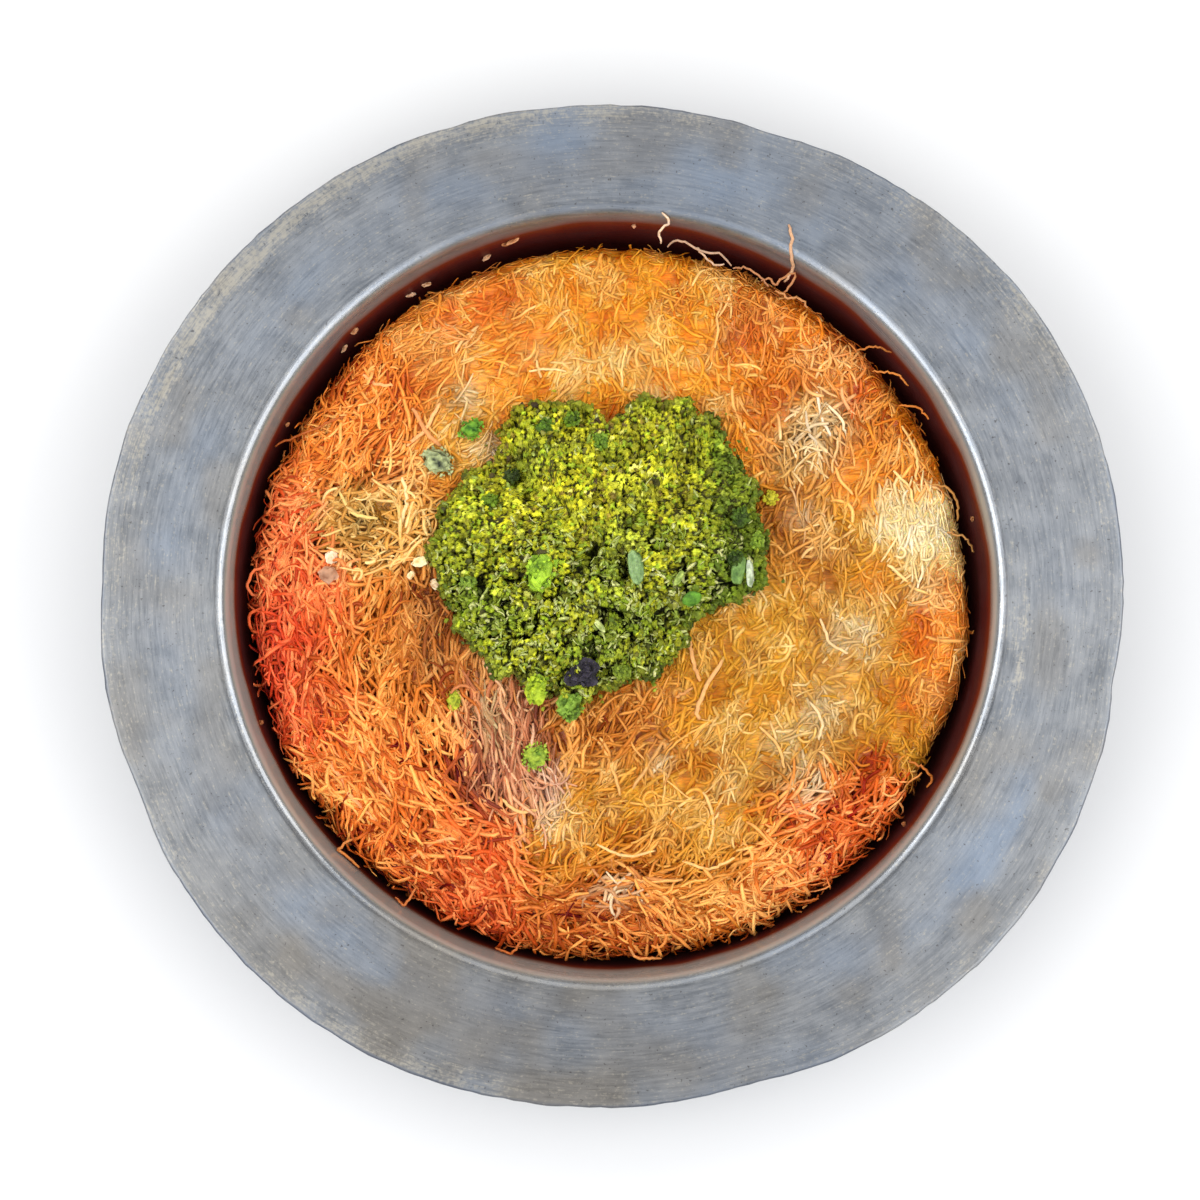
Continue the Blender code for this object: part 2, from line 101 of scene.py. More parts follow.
def linear(colour):
    """An sRGB hex colour as linear red, green and blue."""
    parts = np.array([int(colour[index:index + 2], 16) for index in (1, 3, 5)]) / 255.0
    return np.where(parts <= 0.04045, parts / 12.92, ((parts + 0.055) / 1.055) ** 2.4)


def rgba(colour):
    """An sRGB hex colour as a linear value for a shader socket."""
    return (*linear(colour), 1.0)


def per_mm(size):
    """The scale of a shader texture whose features are this many millimetres across."""
    return 1.0 / (size * MM)


def drift(x, y, size, seed):
    """Smooth random values from -1 to 1 over a plan, in patches of the given size."""
    grid = np.random.default_rng(seed).uniform(-1.0, 1.0, (RANDOM_GRID, RANDOM_GRID))
    across = np.asarray(x) / size
    along = np.asarray(y) / size
    column = np.floor(across).astype(int)
    row = np.floor(along).astype(int)
    share_x = smoothstep(0.0, 1.0, across - column)
    share_y = smoothstep(0.0, 1.0, along - row)
    left, right = column % RANDOM_GRID, (column + 1) % RANDOM_GRID
    near, far = row % RANDOM_GRID, (row + 1) % RANDOM_GRID
    front = grid[near, left] * (1.0 - share_x) + grid[near, right] * share_x
    back = grid[far, left] * (1.0 - share_x) + grid[far, right] * share_x
    return front * (1.0 - share_y) + back * share_y


def polar(reach, angle):
    """Places on the plan at distances and directions from its middle."""
    return np.stack([reach * np.cos(angle), reach * np.sin(angle)], axis=-1)


def raised(plan, height):
    """Places on the plan, each at its height."""
    return np.concatenate([plan, height[..., None]], axis=-1)


def unevenness(points, layers):
    """The solids' own relief at places, the sum of layers that each have a height and a bump size."""
    total = np.zeros(len(points))
    for index, (height, size) in enumerate(layers):
        shift = Vector((3.1, 5.7, 7.3)) * index
        total += [height * noise.noise(Vector(point) / size + shift) for point in points]
    return total


# Meshes

def keep_colours(mesh, colours):
    """Keep a linear colour for each corner of the mesh, for its material to read."""
    values = np.ones((len(mesh.vertices), 4), np.float32)
    values[:, :3] = np.asarray(colours).reshape(-1, 3)
    mesh.attributes.new("own_colour", "FLOAT_COLOR", "POINT").data.foreach_set("color", values.ravel())


def keep_amounts(mesh, name, amounts):
    """Keep an amount from 0 to 1 for each corner of the mesh, for its material to read."""
    values = np.clip(amounts, 0.0, 1.0).astype(np.float32).ravel()
    mesh.attributes.new(name, "FLOAT", "POINT").data.foreach_set("value", values)


def joined(name, shapes, faces, smooth=True):
    """One mesh from many copies of a face pattern; shapes is (copies, corners, 3) in millimetres."""
    copies, corners = shapes.shape[:2]
    pattern = np.concatenate([np.asarray(group).ravel() for group in faces])
    sizes = np.concatenate([np.full(len(group), len(group[0])) for group in faces])
    loops = (pattern + corners * np.arange(copies)[:, None]).ravel()
    starts = np.concatenate([[0], np.cumsum(np.tile(sizes, copies))[:-1]])
    mesh = bpy.data.meshes.new(name)
    mesh.vertices.add(copies * corners)
    mesh.vertices.foreach_set("co", (shapes * MM).astype(np.float32).ravel())
    mesh.loops.add(len(loops))
    mesh.loops.foreach_set("vertex_index", loops.astype(np.int32))
    mesh.polygons.add(len(starts))
    mesh.polygons.foreach_set("loop_start", starts.astype(np.int32))
    mesh.update(calc_edges=True)
    if smooth:
        mesh.shade_smooth()
    else:
        mesh.shade_flat()
    item = bpy.data.objects.new(name, mesh)
    bpy.context.scene.collection.objects.link(item)
    return item


def ring_faces(rings, sides):
    """Quads between neighbouring closed rings of corners."""
    ring = np.arange(rings - 1)[:, None] * sides
    here = np.arange(sides)[None]
    there = (here + 1) % sides
    quads = np.stack([ring + here, ring + there, ring + sides + there, ring + sides + here], axis=-1)
    return quads.reshape(-1, 4)


def tube_faces(rings, sides):
    """A tube of rings with a flat cap at each end."""
    first = np.arange(sides)[::-1]
    last = (rings - 1) * sides + np.arange(sides)
    return [ring_faces(rings, sides), np.stack([first, last])]


def square_to_disc(steps):
    """Corners of a square grid moved onto a disc of radius 1, evenly spaced."""
    ticks = np.linspace(-1.0, 1.0, steps + 1)
    across, along = np.meshgrid(ticks, ticks)
    wide = np.abs(across) > np.abs(along)
    reach = np.where(wide, across, along)
    other = np.where(wide, along, across)
    ratio = np.divide(other, reach, out=np.zeros_like(across), where=np.abs(reach) > 1e-9)
    angle = np.where(wide, math.pi / 4.0 * ratio, math.pi / 2.0 - math.pi / 4.0 * ratio)
    return polar(reach, angle)


def sheet_faces(steps):
    """Quads of a square grid, facing up, and one face that closes it from below."""
    corner = np.arange(steps)[:, None] * (steps + 1) + np.arange(steps)[None]
    quads = np.stack([corner, corner + 1, corner + steps + 2, corner + steps + 1], axis=-1).reshape(-1, 4)
    side = np.arange(steps)
    row = steps + 1
    last = steps * row
    border = np.concatenate([side, side * row + steps, last + steps - side, last - side * row])
    return [quads, border[::-1][None]]


def finish_piece(item, material, slot, *nodes):
    """Give a piece its material and let it ride with the tray; the slot is not used."""
    item.data.materials.clear()
    item.data.materials.append(material)
    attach(item, "root")
    if nodes:
        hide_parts(*nodes)


def make_piece(name, shapes, faces, colours, material, slot, *nodes, smooth=True):
    """One finished piece, from its mesh and colours to the nodes that it stands for."""
    item = joined(name, shapes, faces, smooth)
    keep_colours(item.data, colours)
    finish_piece(item, material, slot, *nodes)


# Materials

def set_inputs(tree, node, inputs):
    """Set a node's inputs, each to a value or to a link."""
    for name, value in inputs.items():
        if isinstance(value, bpy.types.NodeSocket):
            tree.links.new(value, node.inputs[name])
        else:
            node.inputs[name].default_value = value


def add_node(tree, kind, output, inputs=None, **settings):
    """Add a shader node with its settings and links, and return one of its outputs."""
    node = tree.nodes.new("ShaderNode" + kind)
    for name, value in settings.items():
        setattr(node, name, value)
    set_inputs(tree, node, inputs or {})
    return node.outputs[output]


def new_material(name):
    """A material whose tree holds nothing but its shader, with that tree and shader."""
    material = bpy.data.materials.new(name)
    material.use_nodes = True
    return material, material.node_tree, material.node_tree.nodes["Principled BSDF"]


def cloudiness(tree, place, size, detail, low, high, dark, light):
    """Noise with features of a size in millimetres, stretched between two levels and mapped to a range."""
    cloud = add_node(tree, "TexNoise", "Fac", {"Vector": place, "Scale": per_mm(size), "Detail": detail,
                                               "Roughness": 0.62})
    return add_node(tree, "MapRange", "Result", {"Value": cloud, "From Min": low, "From Max": high,
                                                 "To Min": dark, "To Max": light})


def weighed(tree, *parts, start=0.0):
    """The sum of amounts, each times its weight."""
    total = start
    for amount, weight in parts:
        total = add_node(tree, "Math", "Value", {0: amount, 1: weight, 2: total}, operation="MULTIPLY_ADD")
    return total


def stained(tree, colour, *stains):
    """A colour under stains, each an amount, the most that it covers and its own colour."""
    for amount, most, tint in stains:
        share = add_node(tree, "Math", "Value", {0: amount, 1: most}, operation="MULTIPLY", use_clamp=True)
        colour = add_node(tree, "Mix", 2, {"Factor": share, 6: colour, 7: tint}, data_type="RGBA")
    return colour


def clouded_colour(tree, place, size, dark, light):
    """The colour that each corner of the mesh keeps, made darker and lighter in small clouds."""
    colour = add_node(tree, "Attribute", "Color", attribute_name="own_colour")
    cloud = cloudiness(tree, place, size, 3.0, 0.3, 0.7, dark, light)
    return add_node(tree, "VectorMath", "Vector", {0: colour, "Scale": cloud}, operation="SCALE")


def set_stops(ramp, stops):
    """Set a colour ramp's stops, each a position and an sRGB hex colour."""
    elements = ramp.color_ramp.elements
    while len(elements) < len(stops):
        elements.new(0.5)
    for element, (position, colour) in zip(elements, stops):
        element.position = position
        element.color = rgba(colour)


FIBRE_TURNS = (24.0, 81.0, 139.0)
FIBRE_LENGTH = 3.0
FIBRE_WIDTH = 0.6


def fibres(tree, place):
    """Fine shreds that lie three ways, as the highest of three noises, each drawn out along its way."""
    highest = None
    for turn in FIBRE_TURNS:
        turned = add_node(tree, "Mapping", "Vector", {
            "Vector": place,
            "Rotation": (0.0, 0.0, math.radians(turn)),
            "Scale": (per_mm(FIBRE_LENGTH), per_mm(FIBRE_WIDTH), per_mm(FIBRE_LENGTH)),
        })
        strand = add_node(tree, "TexNoise", "Fac", {"Vector": turned, "Scale": 1.0, "Detail": 1.5,
                                                    "Distortion": 0.9})
        if highest is None:
            highest = strand
        else:
            highest = add_node(tree, "Math", "Value", {0: highest, 1: strand}, operation="MAXIMUM")
    return add_node(tree, "MapRange", "Result", {"Value": highest, "From Min": 0.48, "From Max": 0.68})


# Light inside the dough: its share, how far each colour goes and over what length
THIN_LIGHT = (0.25, (1.0, 0.7, 0.4), 0.25 * MM)
DEEP_LIGHT = (0.8, (1.0, 0.4, 0.1), 1.4 * MM)


def toasted_dough(name, roughness, coat, grain, fibrous):
    """Shredded wheat dough, baked in butter and soaked in syrup.

    Each shred keeps the colour that it was toasted to, with painted shade on its underside and by depth. The
    dough is a little translucent, its skin is fine-grained, and syrup leaves it glossy. Where it is pressed
    into one mass, shreds show in it, and light goes further into it than into a thin shred.
    """
    material, tree, shader = new_material(name)
    place = add_node(tree, "TexCoord", "Object")
    colour = clouded_colour(tree, place, 1.5, 0.8, 1.15)
    if fibrous:
        relief = fibres(tree, place)
        streak = add_node(tree, "MapRange", "Result", {"Value": relief, "To Min": 0.74, "To Max": 1.12})
        colour = add_node(tree, "VectorMath", "Vector", {0: colour, "Scale": streak}, operation="SCALE")
        depth = 0.15 * MM
    else:
        relief = cloudiness(tree, place, grain, 2.0, 0.0, 1.0, 0.0, 1.0)
        depth = 0.10 * MM
    light_share, light_reach, light_scale = DEEP_LIGHT if fibrous else THIN_LIGHT
    set_inputs(tree, shader, {
        "Base Color": colour,
        "Roughness": cloudiness(tree, place, 2.5, 2.0, 0.35, 0.65, roughness + 0.12, roughness - 0.08),
        "IOR": 1.45,
        "Specular IOR Level": 0.13,
        "Subsurface Weight": light_share,
        "Subsurface Radius": light_reach,
        "Subsurface Scale": light_scale,
        "Coat Weight": coat,
        "Coat Roughness": 0.15,
        "Normal": add_node(tree, "Bump", "Normal", {"Height": relief, "Strength": 0.6, "Distance": depth}),
    })
    return material


def ground_nut():
    """Raw pistachio, peeled and ground.

    Each crumb keeps its own green or yellow, with painted shade where it lies deep in the heap and painted
    light and shade on the knobs and cuts of larger pieces. The broken faces are matt and grainy, and a little
    light goes through them.
    """
    material, tree, shader = new_material("ground pistachio")
    place = add_node(tree, "TexCoord", "Object")
    grit = cloudiness(tree, place, 0.35, 3.0, 0.0, 1.0, 0.0, 1.0)
    set_inputs(tree, shader, {
        "Base Color": clouded_colour(tree, place, 0.7, 0.65, 1.3),
        "Roughness": 0.6,
        "IOR": 1.47,
        "Specular IOR Level": 0.3,
        "Subsurface Weight": 0.15,
        "Subsurface Radius": (0.8, 1.0, 0.15),
        "Subsurface Scale": 0.5 * MM,
        "Normal": add_node(tree, "Bump", "Normal", {"Height": grit, "Strength": 0.8, "Distance": 0.2 * MM}),
    })
    return material


# Tray

TRAY_TURNS = 300
TRAY_MIDDLE = 0.4
BURR = ((0.14, 1.7, 3), (0.14, 6.0, 4))
DENTS = ((0.09, 12.0, 5), (0.04, 4.0, 6))
SPIN_STRETCH = 8.0
SPIN_LENGTH = 1.5
# How far along the half section the sheet's top side reaches
TOP_SIDE_LENGTH = 104.0
# Marks by direction, each a direction, how much and a spread in degrees
FLECKED_SIDES = ((120.0, 1.0, 50.0), (245.0, 0.5, 34.0), (35.0, 0.6, 20.0))
# The film's edge and fade by direction also set where the painted shade in the gap begins
FILM_EDGE_MARKS = ((90.0, 5.6, 55.0), (180.0, 4.6, 40.0), (270.0, 1.2, 45.0), (350.0, 7.6, 50.0))
FILM_FADE_MARKS = ((90.0, 3.8, 55.0), (270.0, 2.5, 45.0), (350.0, 1.2, 50.0))
# Smears: direction and spread in degrees, distance from the axis and half width
SYRUP_TRAIL = (351.0, 13.0, 72.5, 0.7)
SYRUP_BAND = (140.0, 24.0, 86.9, 0.9)
BLUE_STREAK = (327.0, 10.0, 80.5, 2.4)
BROWN_STAIN = (237.0, 8.0, 83.5, 3.5)
# Burnt butter from thin to thick, its darkest end painted shade deep in the gap
FILM_AND_SHADE_COLOURS = ((0.0, "#9a8c7c"), (0.3, "#7a4e30"), (0.55, "#702a0c"), (0.8, "#5a1002"), (1.0, "#3c0402"))


def angle_between(first, second):
    """How far apart directions are, in degrees, from 0 to 180."""
    return np.abs((first - second + 180.0) % 360.0 - 180.0)


def near_azimuth(azimuth, middle, spread):
    """1 at a direction, falling off to either side of it over a spread in degrees."""
    return np.exp(-(angle_between(azimuth, middle) / spread) ** 2)


def with_marks(amount, azimuth, marks):
    """An amount with more or less of it near some directions."""
    for place, more, spread in marks:
        amount = amount + more * near_azimuth(azimuth, place, spread)
    return amount


def layered_drift(plan, layers):
    """The sum of smooth random values in layers, each with a height, a patch size and a seed."""
    x, y = np.moveaxis(plan, -1, 0)
    return sum(height * drift(x, y, size, seed) for height, size, seed in layers)


def rim_reach(azimuth):
    """Where the hand-cut rim ends, measured from the well's axis, for directions in degrees."""
    angle = np.radians(azimuth)
    across = np.cos(angle)
    along = np.sin(angle)
    reach = 1.0 / np.hypot(across / RIM_HALF_WIDTH, along / RIM_HALF_DEPTH)
    reach = reach + RIM_CENTRE[0] * across + RIM_CENTRE[1] * along
    for count, height, turn in RIM_WAVES:
        reach = reach + height * np.cos(count * (angle - math.radians(turn)))
    return with_marks(reach, azimuth, [(place, -depth, NOTCH_WIDTH) for place, depth in RIM_NOTCHES])


def arc(centre, radius, start, end, steps):
    """Points of an arc in the half section, between two angles from +X in degrees."""
    return np.array(centre) + polar(radius, np.radians(np.linspace(start, end, steps + 1)))


def straight(start, end, steps):
    """Points between two places in the half section, without either."""
    shares = np.linspace(0.0, 1.0, steps + 1)[1:-1, None]
    return np.asarray(start) + shares * (np.asarray(end) - np.asarray(start))


def tray_profile():
    """The sheet's half section: floor, wall, shoulder and rim, then back along the underside."""
    floor_up = arc(FLOOR_FILLET_CENTRE, FLOOR_FILLET, -90.0, -WALL_LEAN, 6)
    shoulder = arc(SHOULDER_CENTRE, SHOULDER_RADIUS, 180.0 - WALL_LEAN, 90.0 + RIM_RISE, 12)
    lip = arc(RIM_END, SHEET / 2.0, 90.0 + RIM_RISE, -90.0 + RIM_RISE, 8)
    under_shoulder = arc(SHOULDER_CENTRE, SHOULDER_RADIUS - SHEET, 90.0 + RIM_RISE, 180.0 - WALL_LEAN, 5)
    under_floor = arc(FLOOR_FILLET_CENTRE, FLOOR_FILLET + SHEET, -WALL_LEAN, -90.0, 5)
    top_middle = (TRAY_MIDDLE, SHEET)
    under_middle = (TRAY_MIDDLE, 0.0)
    return np.concatenate([
        [top_middle], straight(top_middle, floor_up[0], 6), floor_up,
        straight(floor_up[-1], shoulder[0], 8), shoulder, straight(shoulder[-1], lip[0], 14), lip,
        straight(lip[-1], under_shoulder[0], 8), under_shoulder,
        straight(under_shoulder[-1], under_floor[0], 5), under_floor,
        straight(under_floor[-1], under_middle, 6), [under_middle]])


def worn_aluminium():
    """Spun aluminium sheet, dulled by years of ovens and washing.

    It shows faint rings from spinning, cloudy oxide, dark pits, tan flecks of old syrup near the rim's edge
    and a red-brown film of burnt butter down the well, darkening to near black low in the gap as painted
    shade.
    """
    material, tree, shader = new_material("worn spun aluminium")
    place = add_node(tree, "TexCoord", "Object")
    spun = add_node(tree, "Attribute", "Vector", attribute_name="spun")
    flecked, burnt_film_and_shade, lip_dark_reflection, polished, satin, bluish_tint_and_reflection, browned = (
        add_node(tree, "Attribute", "Fac", attribute_name=name)
        for name in ("flecked", "burnt_film_and_shade", "lip_dark_reflection", "polished", "satin", "bluish_tint_and_reflection", "browned"))
    rings, scratch = (
        add_node(tree, "TexNoise", "Fac", {
            "Vector": spun, "Scale": scale, "Detail": detail, "Roughness": rough})
        for scale, detail, rough in ((1.6, 5.0, 0.75), (2.6, 4.0, 0.7)))
    cloud = cloudiness(tree, place, 6.0, 6.0, 0.0, 1.0, 0.0, 1.0)
    speck = cloudiness(tree, place, 0.7, 3.0, 0.0, 1.0, 0.0, 1.0)
    pits = cloudiness(tree, place, 0.7, 2.0, 0.33, 0.27, 0.0, 0.6)
    oxide = add_node(tree, "MapRange", "Result", {
        "Value": weighed(tree, (rings, 1.0), (cloud, 0.7)), "From Min": 0.64, "From Max": 1.02})
    flecks = add_node(tree, "MapRange", "Result", {
        "Value": weighed(tree, (speck, 0.5), (scratch, 0.5), (flecked, 0.2)),
        "From Min": 0.57, "From Max": 0.72})
    streaked = add_node(tree, "MapRange", "Result", {
        "Value": rings, "From Min": 0.3, "From Max": 0.7, "To Min": -0.08, "To Max": 0.08})
    # Burnt butter's colour, darkest where it stands for painted shade low in the gap
    film_and_shade = add_node(tree, "ValToRGB", "Color", {"Fac": weighed(tree, (burnt_film_and_shade, 1.0), (streaked, 1.0))})
    set_stops(film_and_shade.node, FILM_AND_SHADE_COLOURS)
    covered, unfilmed = (
        add_node(tree, "MapRange", "Result", {
            "Value": burnt_film_and_shade, "From Min": 0.1, "From Max": 0.6, "To Min": bare, "To Max": filmed})
        for bare, filmed in ((0.0, 1.0), (1.0, 0.1)))
    dull = add_node(tree, "MapRange", "Result", {"Value": oxide, "To Min": 0.36, "To Max": 0.5})
    unpolished = add_node(tree, "MapRange", "Result", {"Value": polished, "To Min": 1.0, "To Max": 0.22})
    bare_metal = weighed(tree, (satin, -0.8), start=1.0)
    relief = weighed(tree, (rings, 1.0), (speck, 1.0))
    set_inputs(tree, shader, {
        # Of these stains, the bluish one holds a painted reflection at the rim's back, and the dark lip one
        # is a painted dark reflection
        "Base Color": stained(
            tree, rgba("#7c8085"), (oxide, 1.0, rgba("#9a9c9e")), (bluish_tint_and_reflection, 0.6, rgba("#8b9bb0")),
            (browned, 0.5, rgba("#857a68")), (flecks, 0.6, rgba("#c6beac")), (pits, 1.0, rgba("#4a4644")),
            (lip_dark_reflection, 0.8, rgba("#5a6270")), (satin, 0.8, rgba("#a49c92")), (covered, 1.0, film_and_shade)),
        "Metallic": weighed(tree, (bare_metal, unfilmed)),
        "Roughness": weighed(tree, (dull, unpolished)),
        "Anisotropic": 0.6,
        "Anisotropic Rotation": 0.25,
        "Tangent": add_node(tree, "Tangent", "Tangent", direction_type="RADIAL", axis="Z"),
        "Normal": add_node(tree, "Bump", "Normal", {"Height": relief, "Strength": 0.2, "Distance": 0.1 * MM}),
    })
    return material


def keep_spin(mesh, turn, length):
    """Keep where each corner lies round and along the sheet, so that spinning marks close on themselves."""
    along = np.repeat(length, turn.shape[1], axis=1) * SPIN_LENGTH
    spun = raised(polar(SPIN_STRETCH, turn), along).astype(np.float32)
    mesh.attributes.new("spun", "FLOAT_VECTOR", "POINT").data.foreach_set("vector", spun.ravel())


def smear(azimuth, radius, mark, wander=0.0):
    """How much of a smear lies at places on the tray."""
    place, spread, middle, width = mark
    return near_azimuth(azimuth, place, spread) * np.exp(-((radius - middle - wander) / width) ** 2)


def mark_rim(mesh, azimuth, radius, x, y, share, seen):
    """Where the rim is flecked and browned by syrup, bluish in patches and at its back as a painted
    reflection, and painted dark along its lip as a reflection.
    """
    outer = smoothstep(0.66, 0.96, share)
    sides = with_marks(0.0, azimuth, FLECKED_SIDES)
    patches = 0.5 + 0.5 * drift(x, y, 7.0, 8)
    flecked = (outer * (0.15 + 0.6 * sides) + 0.15) * (0.35 + 0.65 * patches)
    flecked += 0.8 * smear(azimuth, radius, SYRUP_TRAIL, 0.6 * drift(x, y, 3.0, 15))
    flecked += 0.9 * smear(azimuth, radius, SYRUP_BAND, 0.5 * drift(x, y, 3.0, 18))
    keep_amounts(mesh, "flecked", seen * flecked)
    tan = near_azimuth(azimuth, 260.0, 42.0) * smoothstep(-0.3, 0.7, drift(x, y, 8.0, 14))
    tan += 0.5 * smoothstep(0.1, 0.8, drift(x, y, 7.0, 16)) + 0.4 * outer * sides * patches
    keep_amounts(mesh, "browned", tan + 1.2 * smear(azimuth, radius, BROWN_STAIN))
    # Bluish at the back of the rim: a painted reflection; the cool patches and the streak are the metal's own
    # tint
    back = 0.6 * near_azimuth(azimuth, 80.0, 60.0) * (0.6 + 0.4 * drift(x, y, 10.0, 12))
    inner = np.exp(-((radius - 77.5 - 1.5 * drift(x, y, 12.0, 17)) / 4.0) ** 2)
    cool = 0.5 * inner * (0.5 + 0.5 * drift(x, y, 9.0, 19)) + 0.3 * smoothstep(0.1, 0.8, drift(x, y, 9.0, 13))
    cool = cool * (1.0 - 0.8 * near_azimuth(azimuth, 5.0, 32.0))
    streak = smear(azimuth, radius, BLUE_STREAK, 1.5 * drift(x, y, 5.0, 11))
    keep_amounts(mesh, "bluish_tint_and_reflection", back + 1.2 * streak + cool)
    # Painted dark reflection along the turned-down lip, strongest at the front left
    dark_lip_reflection = 0.5 + 0.5 * drift(x, y, 8.0, 10) + 0.8 * near_azimuth(azimuth, 235.0, 35.0)
    keep_amounts(mesh, "lip_dark_reflection", seen * smoothstep(0.972, 0.986, share) * dark_lip_reflection)


def mark_well(mesh, azimuth, radius, x, y, height, seen):
    """Where the wall is filmed with burnt butter, darkening to painted shade low in the gap, or satin, and
    how brightly its shoulder is rubbed.
    """
    inwards = SHOULDER_CENTRE[0] - radius
    back_wall = near_azimuth(azimuth, 90.0, 55.0)
    front_wall = near_azimuth(azimuth, 270.0, 45.0)
    film_edge = with_marks(9.6, azimuth, FILM_EDGE_MARKS) + 0.7 * drift(x, y, 6.0, 9)
    film_fade = with_marks(2.0, azimuth, FILM_FADE_MARKS)
    # Burnt film and painted shade: more of it lower down the wall and deep in the gap
    film_and_shade = smoothstep(0.9, 3.2, inwards) * smoothstep(film_edge + film_fade, film_edge - film_fade, height)
    keep_amounts(mesh, "burnt_film_and_shade", seen * film_and_shade)
    shoulder = smoothstep(0.2, 1.0, inwards) * (1.0 - film_and_shade)
    keep_amounts(mesh, "polished", seen * shoulder * (1.0 - 0.85 * back_wall) * (1.0 - 0.5 * front_wall))
    keep_amounts(mesh, "satin", seen * smoothstep(1.7, 2.5, inwards) * (1.0 - 0.9 * back_wall))


def mark_wear(mesh, turn, radius, height, share, length):
    """How years of use and the last bake have marked the tray."""
    azimuth = np.degrees(turn)
    x = radius * np.cos(turn)
    y = radius * np.sin(turn)
    seen = (length < TOP_SIDE_LENGTH) * np.ones_like(turn)
    mark_rim(mesh, azimuth, radius, x, y, share, seen)
    mark_well(mesh, azimuth, radius, x, y, height, seen)


def make_tray():
    """The turned tray with its uneven outline, small dents and a burred edge."""
    profile = tray_profile()
    turn = np.repeat(np.arange(TRAY_TURNS)[None] * math.tau / TRAY_TURNS, len(profile), axis=0)
    radius = np.repeat(profile[:, :1], TRAY_TURNS, axis=1)
    height = np.repeat(profile[:, 1:], TRAY_TURNS, axis=1)
    turned_reach = RIM_END[0] + SHEET / 2.0
    share = np.clip((radius - SHOULDER_CENTRE[0]) / (turned_reach - SHOULDER_CENTRE[0]), 0.0, 1.0)
    burr = layered_drift(polar(turned_reach, turn), BURR)
    stretch = rim_reach(np.degrees(turn)) - turned_reach + burr * smoothstep(0.96, 1.0, share)
    dents = layered_drift(polar(radius, turn), DENTS)
    height = height + RIM_WARP * share * np.sin(2.0 * turn + RIM_WARP_TURN)
    height = height + dents * smoothstep(0.0, 0.15, share)
    radius = radius + stretch * share
    points = raised(polar(radius, turn), height).reshape(1, -1, 3)
    rings = len(profile)
    around = np.arange(TRAY_TURNS)
    caps = np.stack([around, (rings - 1) * TRAY_TURNS + around[::-1]])
    item = joined("tray_sheet", points, [ring_faces(rings, TRAY_TURNS)[:, ::-1], caps])
    length = np.concatenate([[0.0], np.cumsum(np.hypot(*np.diff(profile, axis=0).T))])[:, None]
    keep_spin(item.data, turn, length)
    mark_wear(item.data, turn, radius, height, share, length)
    finish_piece(item, worn_aluminium(), "tray_metal", "tray")


# Pastry: places on its skin, given on a plan that follows the half section's length

WALL_CLEARANCE = 0.2


def pastry_meridian():
    """The half section as arc lengths, radii, heights and outward directions, from middle to foot."""
    crown_end = PASTRY_RADIUS - PASTRY_EDGE_RADIUS
    crown = np.linspace(0.0, crown_end, 60)
    drop = (PASTRY_TOP - PASTRY_EDGE_TOP) * (crown / crown_end) ** 2
    edge_centre = (crown_end, PASTRY_EDGE_TOP - PASTRY_EDGE_RADIUS)
    edge = arc(edge_centre, PASTRY_EDGE_RADIUS, PASTRY_EDGE_START, 0.0, 12)
    foot = np.array([PASTRY_FOOT, (FLOOR_FILLET_CENTRE[0], PASTRY_BASE)])
    radii = np.concatenate([crown, edge[:, 0], foot[:, 0]])
    heights = np.concatenate([PASTRY_TOP - drop, edge[:, 1], foot[:, 1]])
    lengths = np.concatenate([[0.0], np.cumsum(np.hypot(np.diff(radii), np.diff(heights)))])
    run = np.gradient(radii, lengths)
    fall = np.gradient(heights, lengths)
    size = np.hypot(run, fall)
    return lengths, radii, heights, -fall / size, run / size


MERIDIAN = pastry_meridian()
SKIN_REACH = MERIDIAN[0][-1]


def wall_reach(height):
    """How far out from the axis the inside of the tray's wall is, at heights over the table."""
    lean = math.radians(WALL_LEAN)
    foot = FLOOR_FILLET_CENTRE[0] + FLOOR_FILLET * math.cos(lean)
    wall = foot + np.maximum(height - FLOOR_FILLET_CENTRE[1], 0.0) * math.tan(lean)
    over = np.clip(height - SHOULDER_CENTRE[1], 0.0, SHOULDER_RADIUS)
    shoulder = SHOULDER_CENTRE[0] - np.sqrt(SHOULDER_RADIUS ** 2 - over ** 2)
    return np.where(height > SHOULDER_CENTRE[1], np.maximum(wall, shoulder), wall)


def on_skin(plan, lift):
    """Points at a height over the pastry's skin for places on its plan, and which way is out there."""
    reach = np.hypot(plan[..., 0], plan[..., 1])
    lengths, radii, heights, out, up = MERIDIAN
    around = plan / np.maximum(reach, 1e-6)[..., None]
    out_here = np.interp(reach, lengths, out)
    up_here = np.interp(reach, lengths, up)
    height = np.interp(reach, lengths, heights) + up_here * lift
    radius = np.interp(reach, lengths, radii) + out_here * lift
    radius = np.minimum(radius, wall_reach(height) - WALL_CLEARANCE)
    return raised(around * radius[..., None], height), raised(around * out_here[..., None], up_here)


def heap_reach(angle):
    """The pistachio outline's distance from the heap's middle, a smooth curve through its values."""
    reaches = np.array(HEAP_REACH)
    turn = (angle / math.tau % 1.0) * len(reaches)
    index = np.floor(turn).astype(int)
    share = turn - index
    before, start, end, after = (reaches[(index + step) % len(reaches)] for step in (-1, 0, 1, 2))
    slope_in = (end - before) / 2.0
    slope_out = (after - start) / 2.0
    bend_in = 3.0 * (end - start) - 2.0 * slope_in - slope_out
    bend_out = 2.0 * (start - end) + slope_in + slope_out
    return start + share * (slope_in + share * (bend_in + share * bend_out))


def beyond_heap(x, y):
    """How far places lie outside the pistachio outline; negative under the heap."""
    across = x - HEAP_CENTRE[0]
    along = y - HEAP_CENTRE[1]
    return np.hypot(across, along) - heap_reach(np.arctan2(along, across))


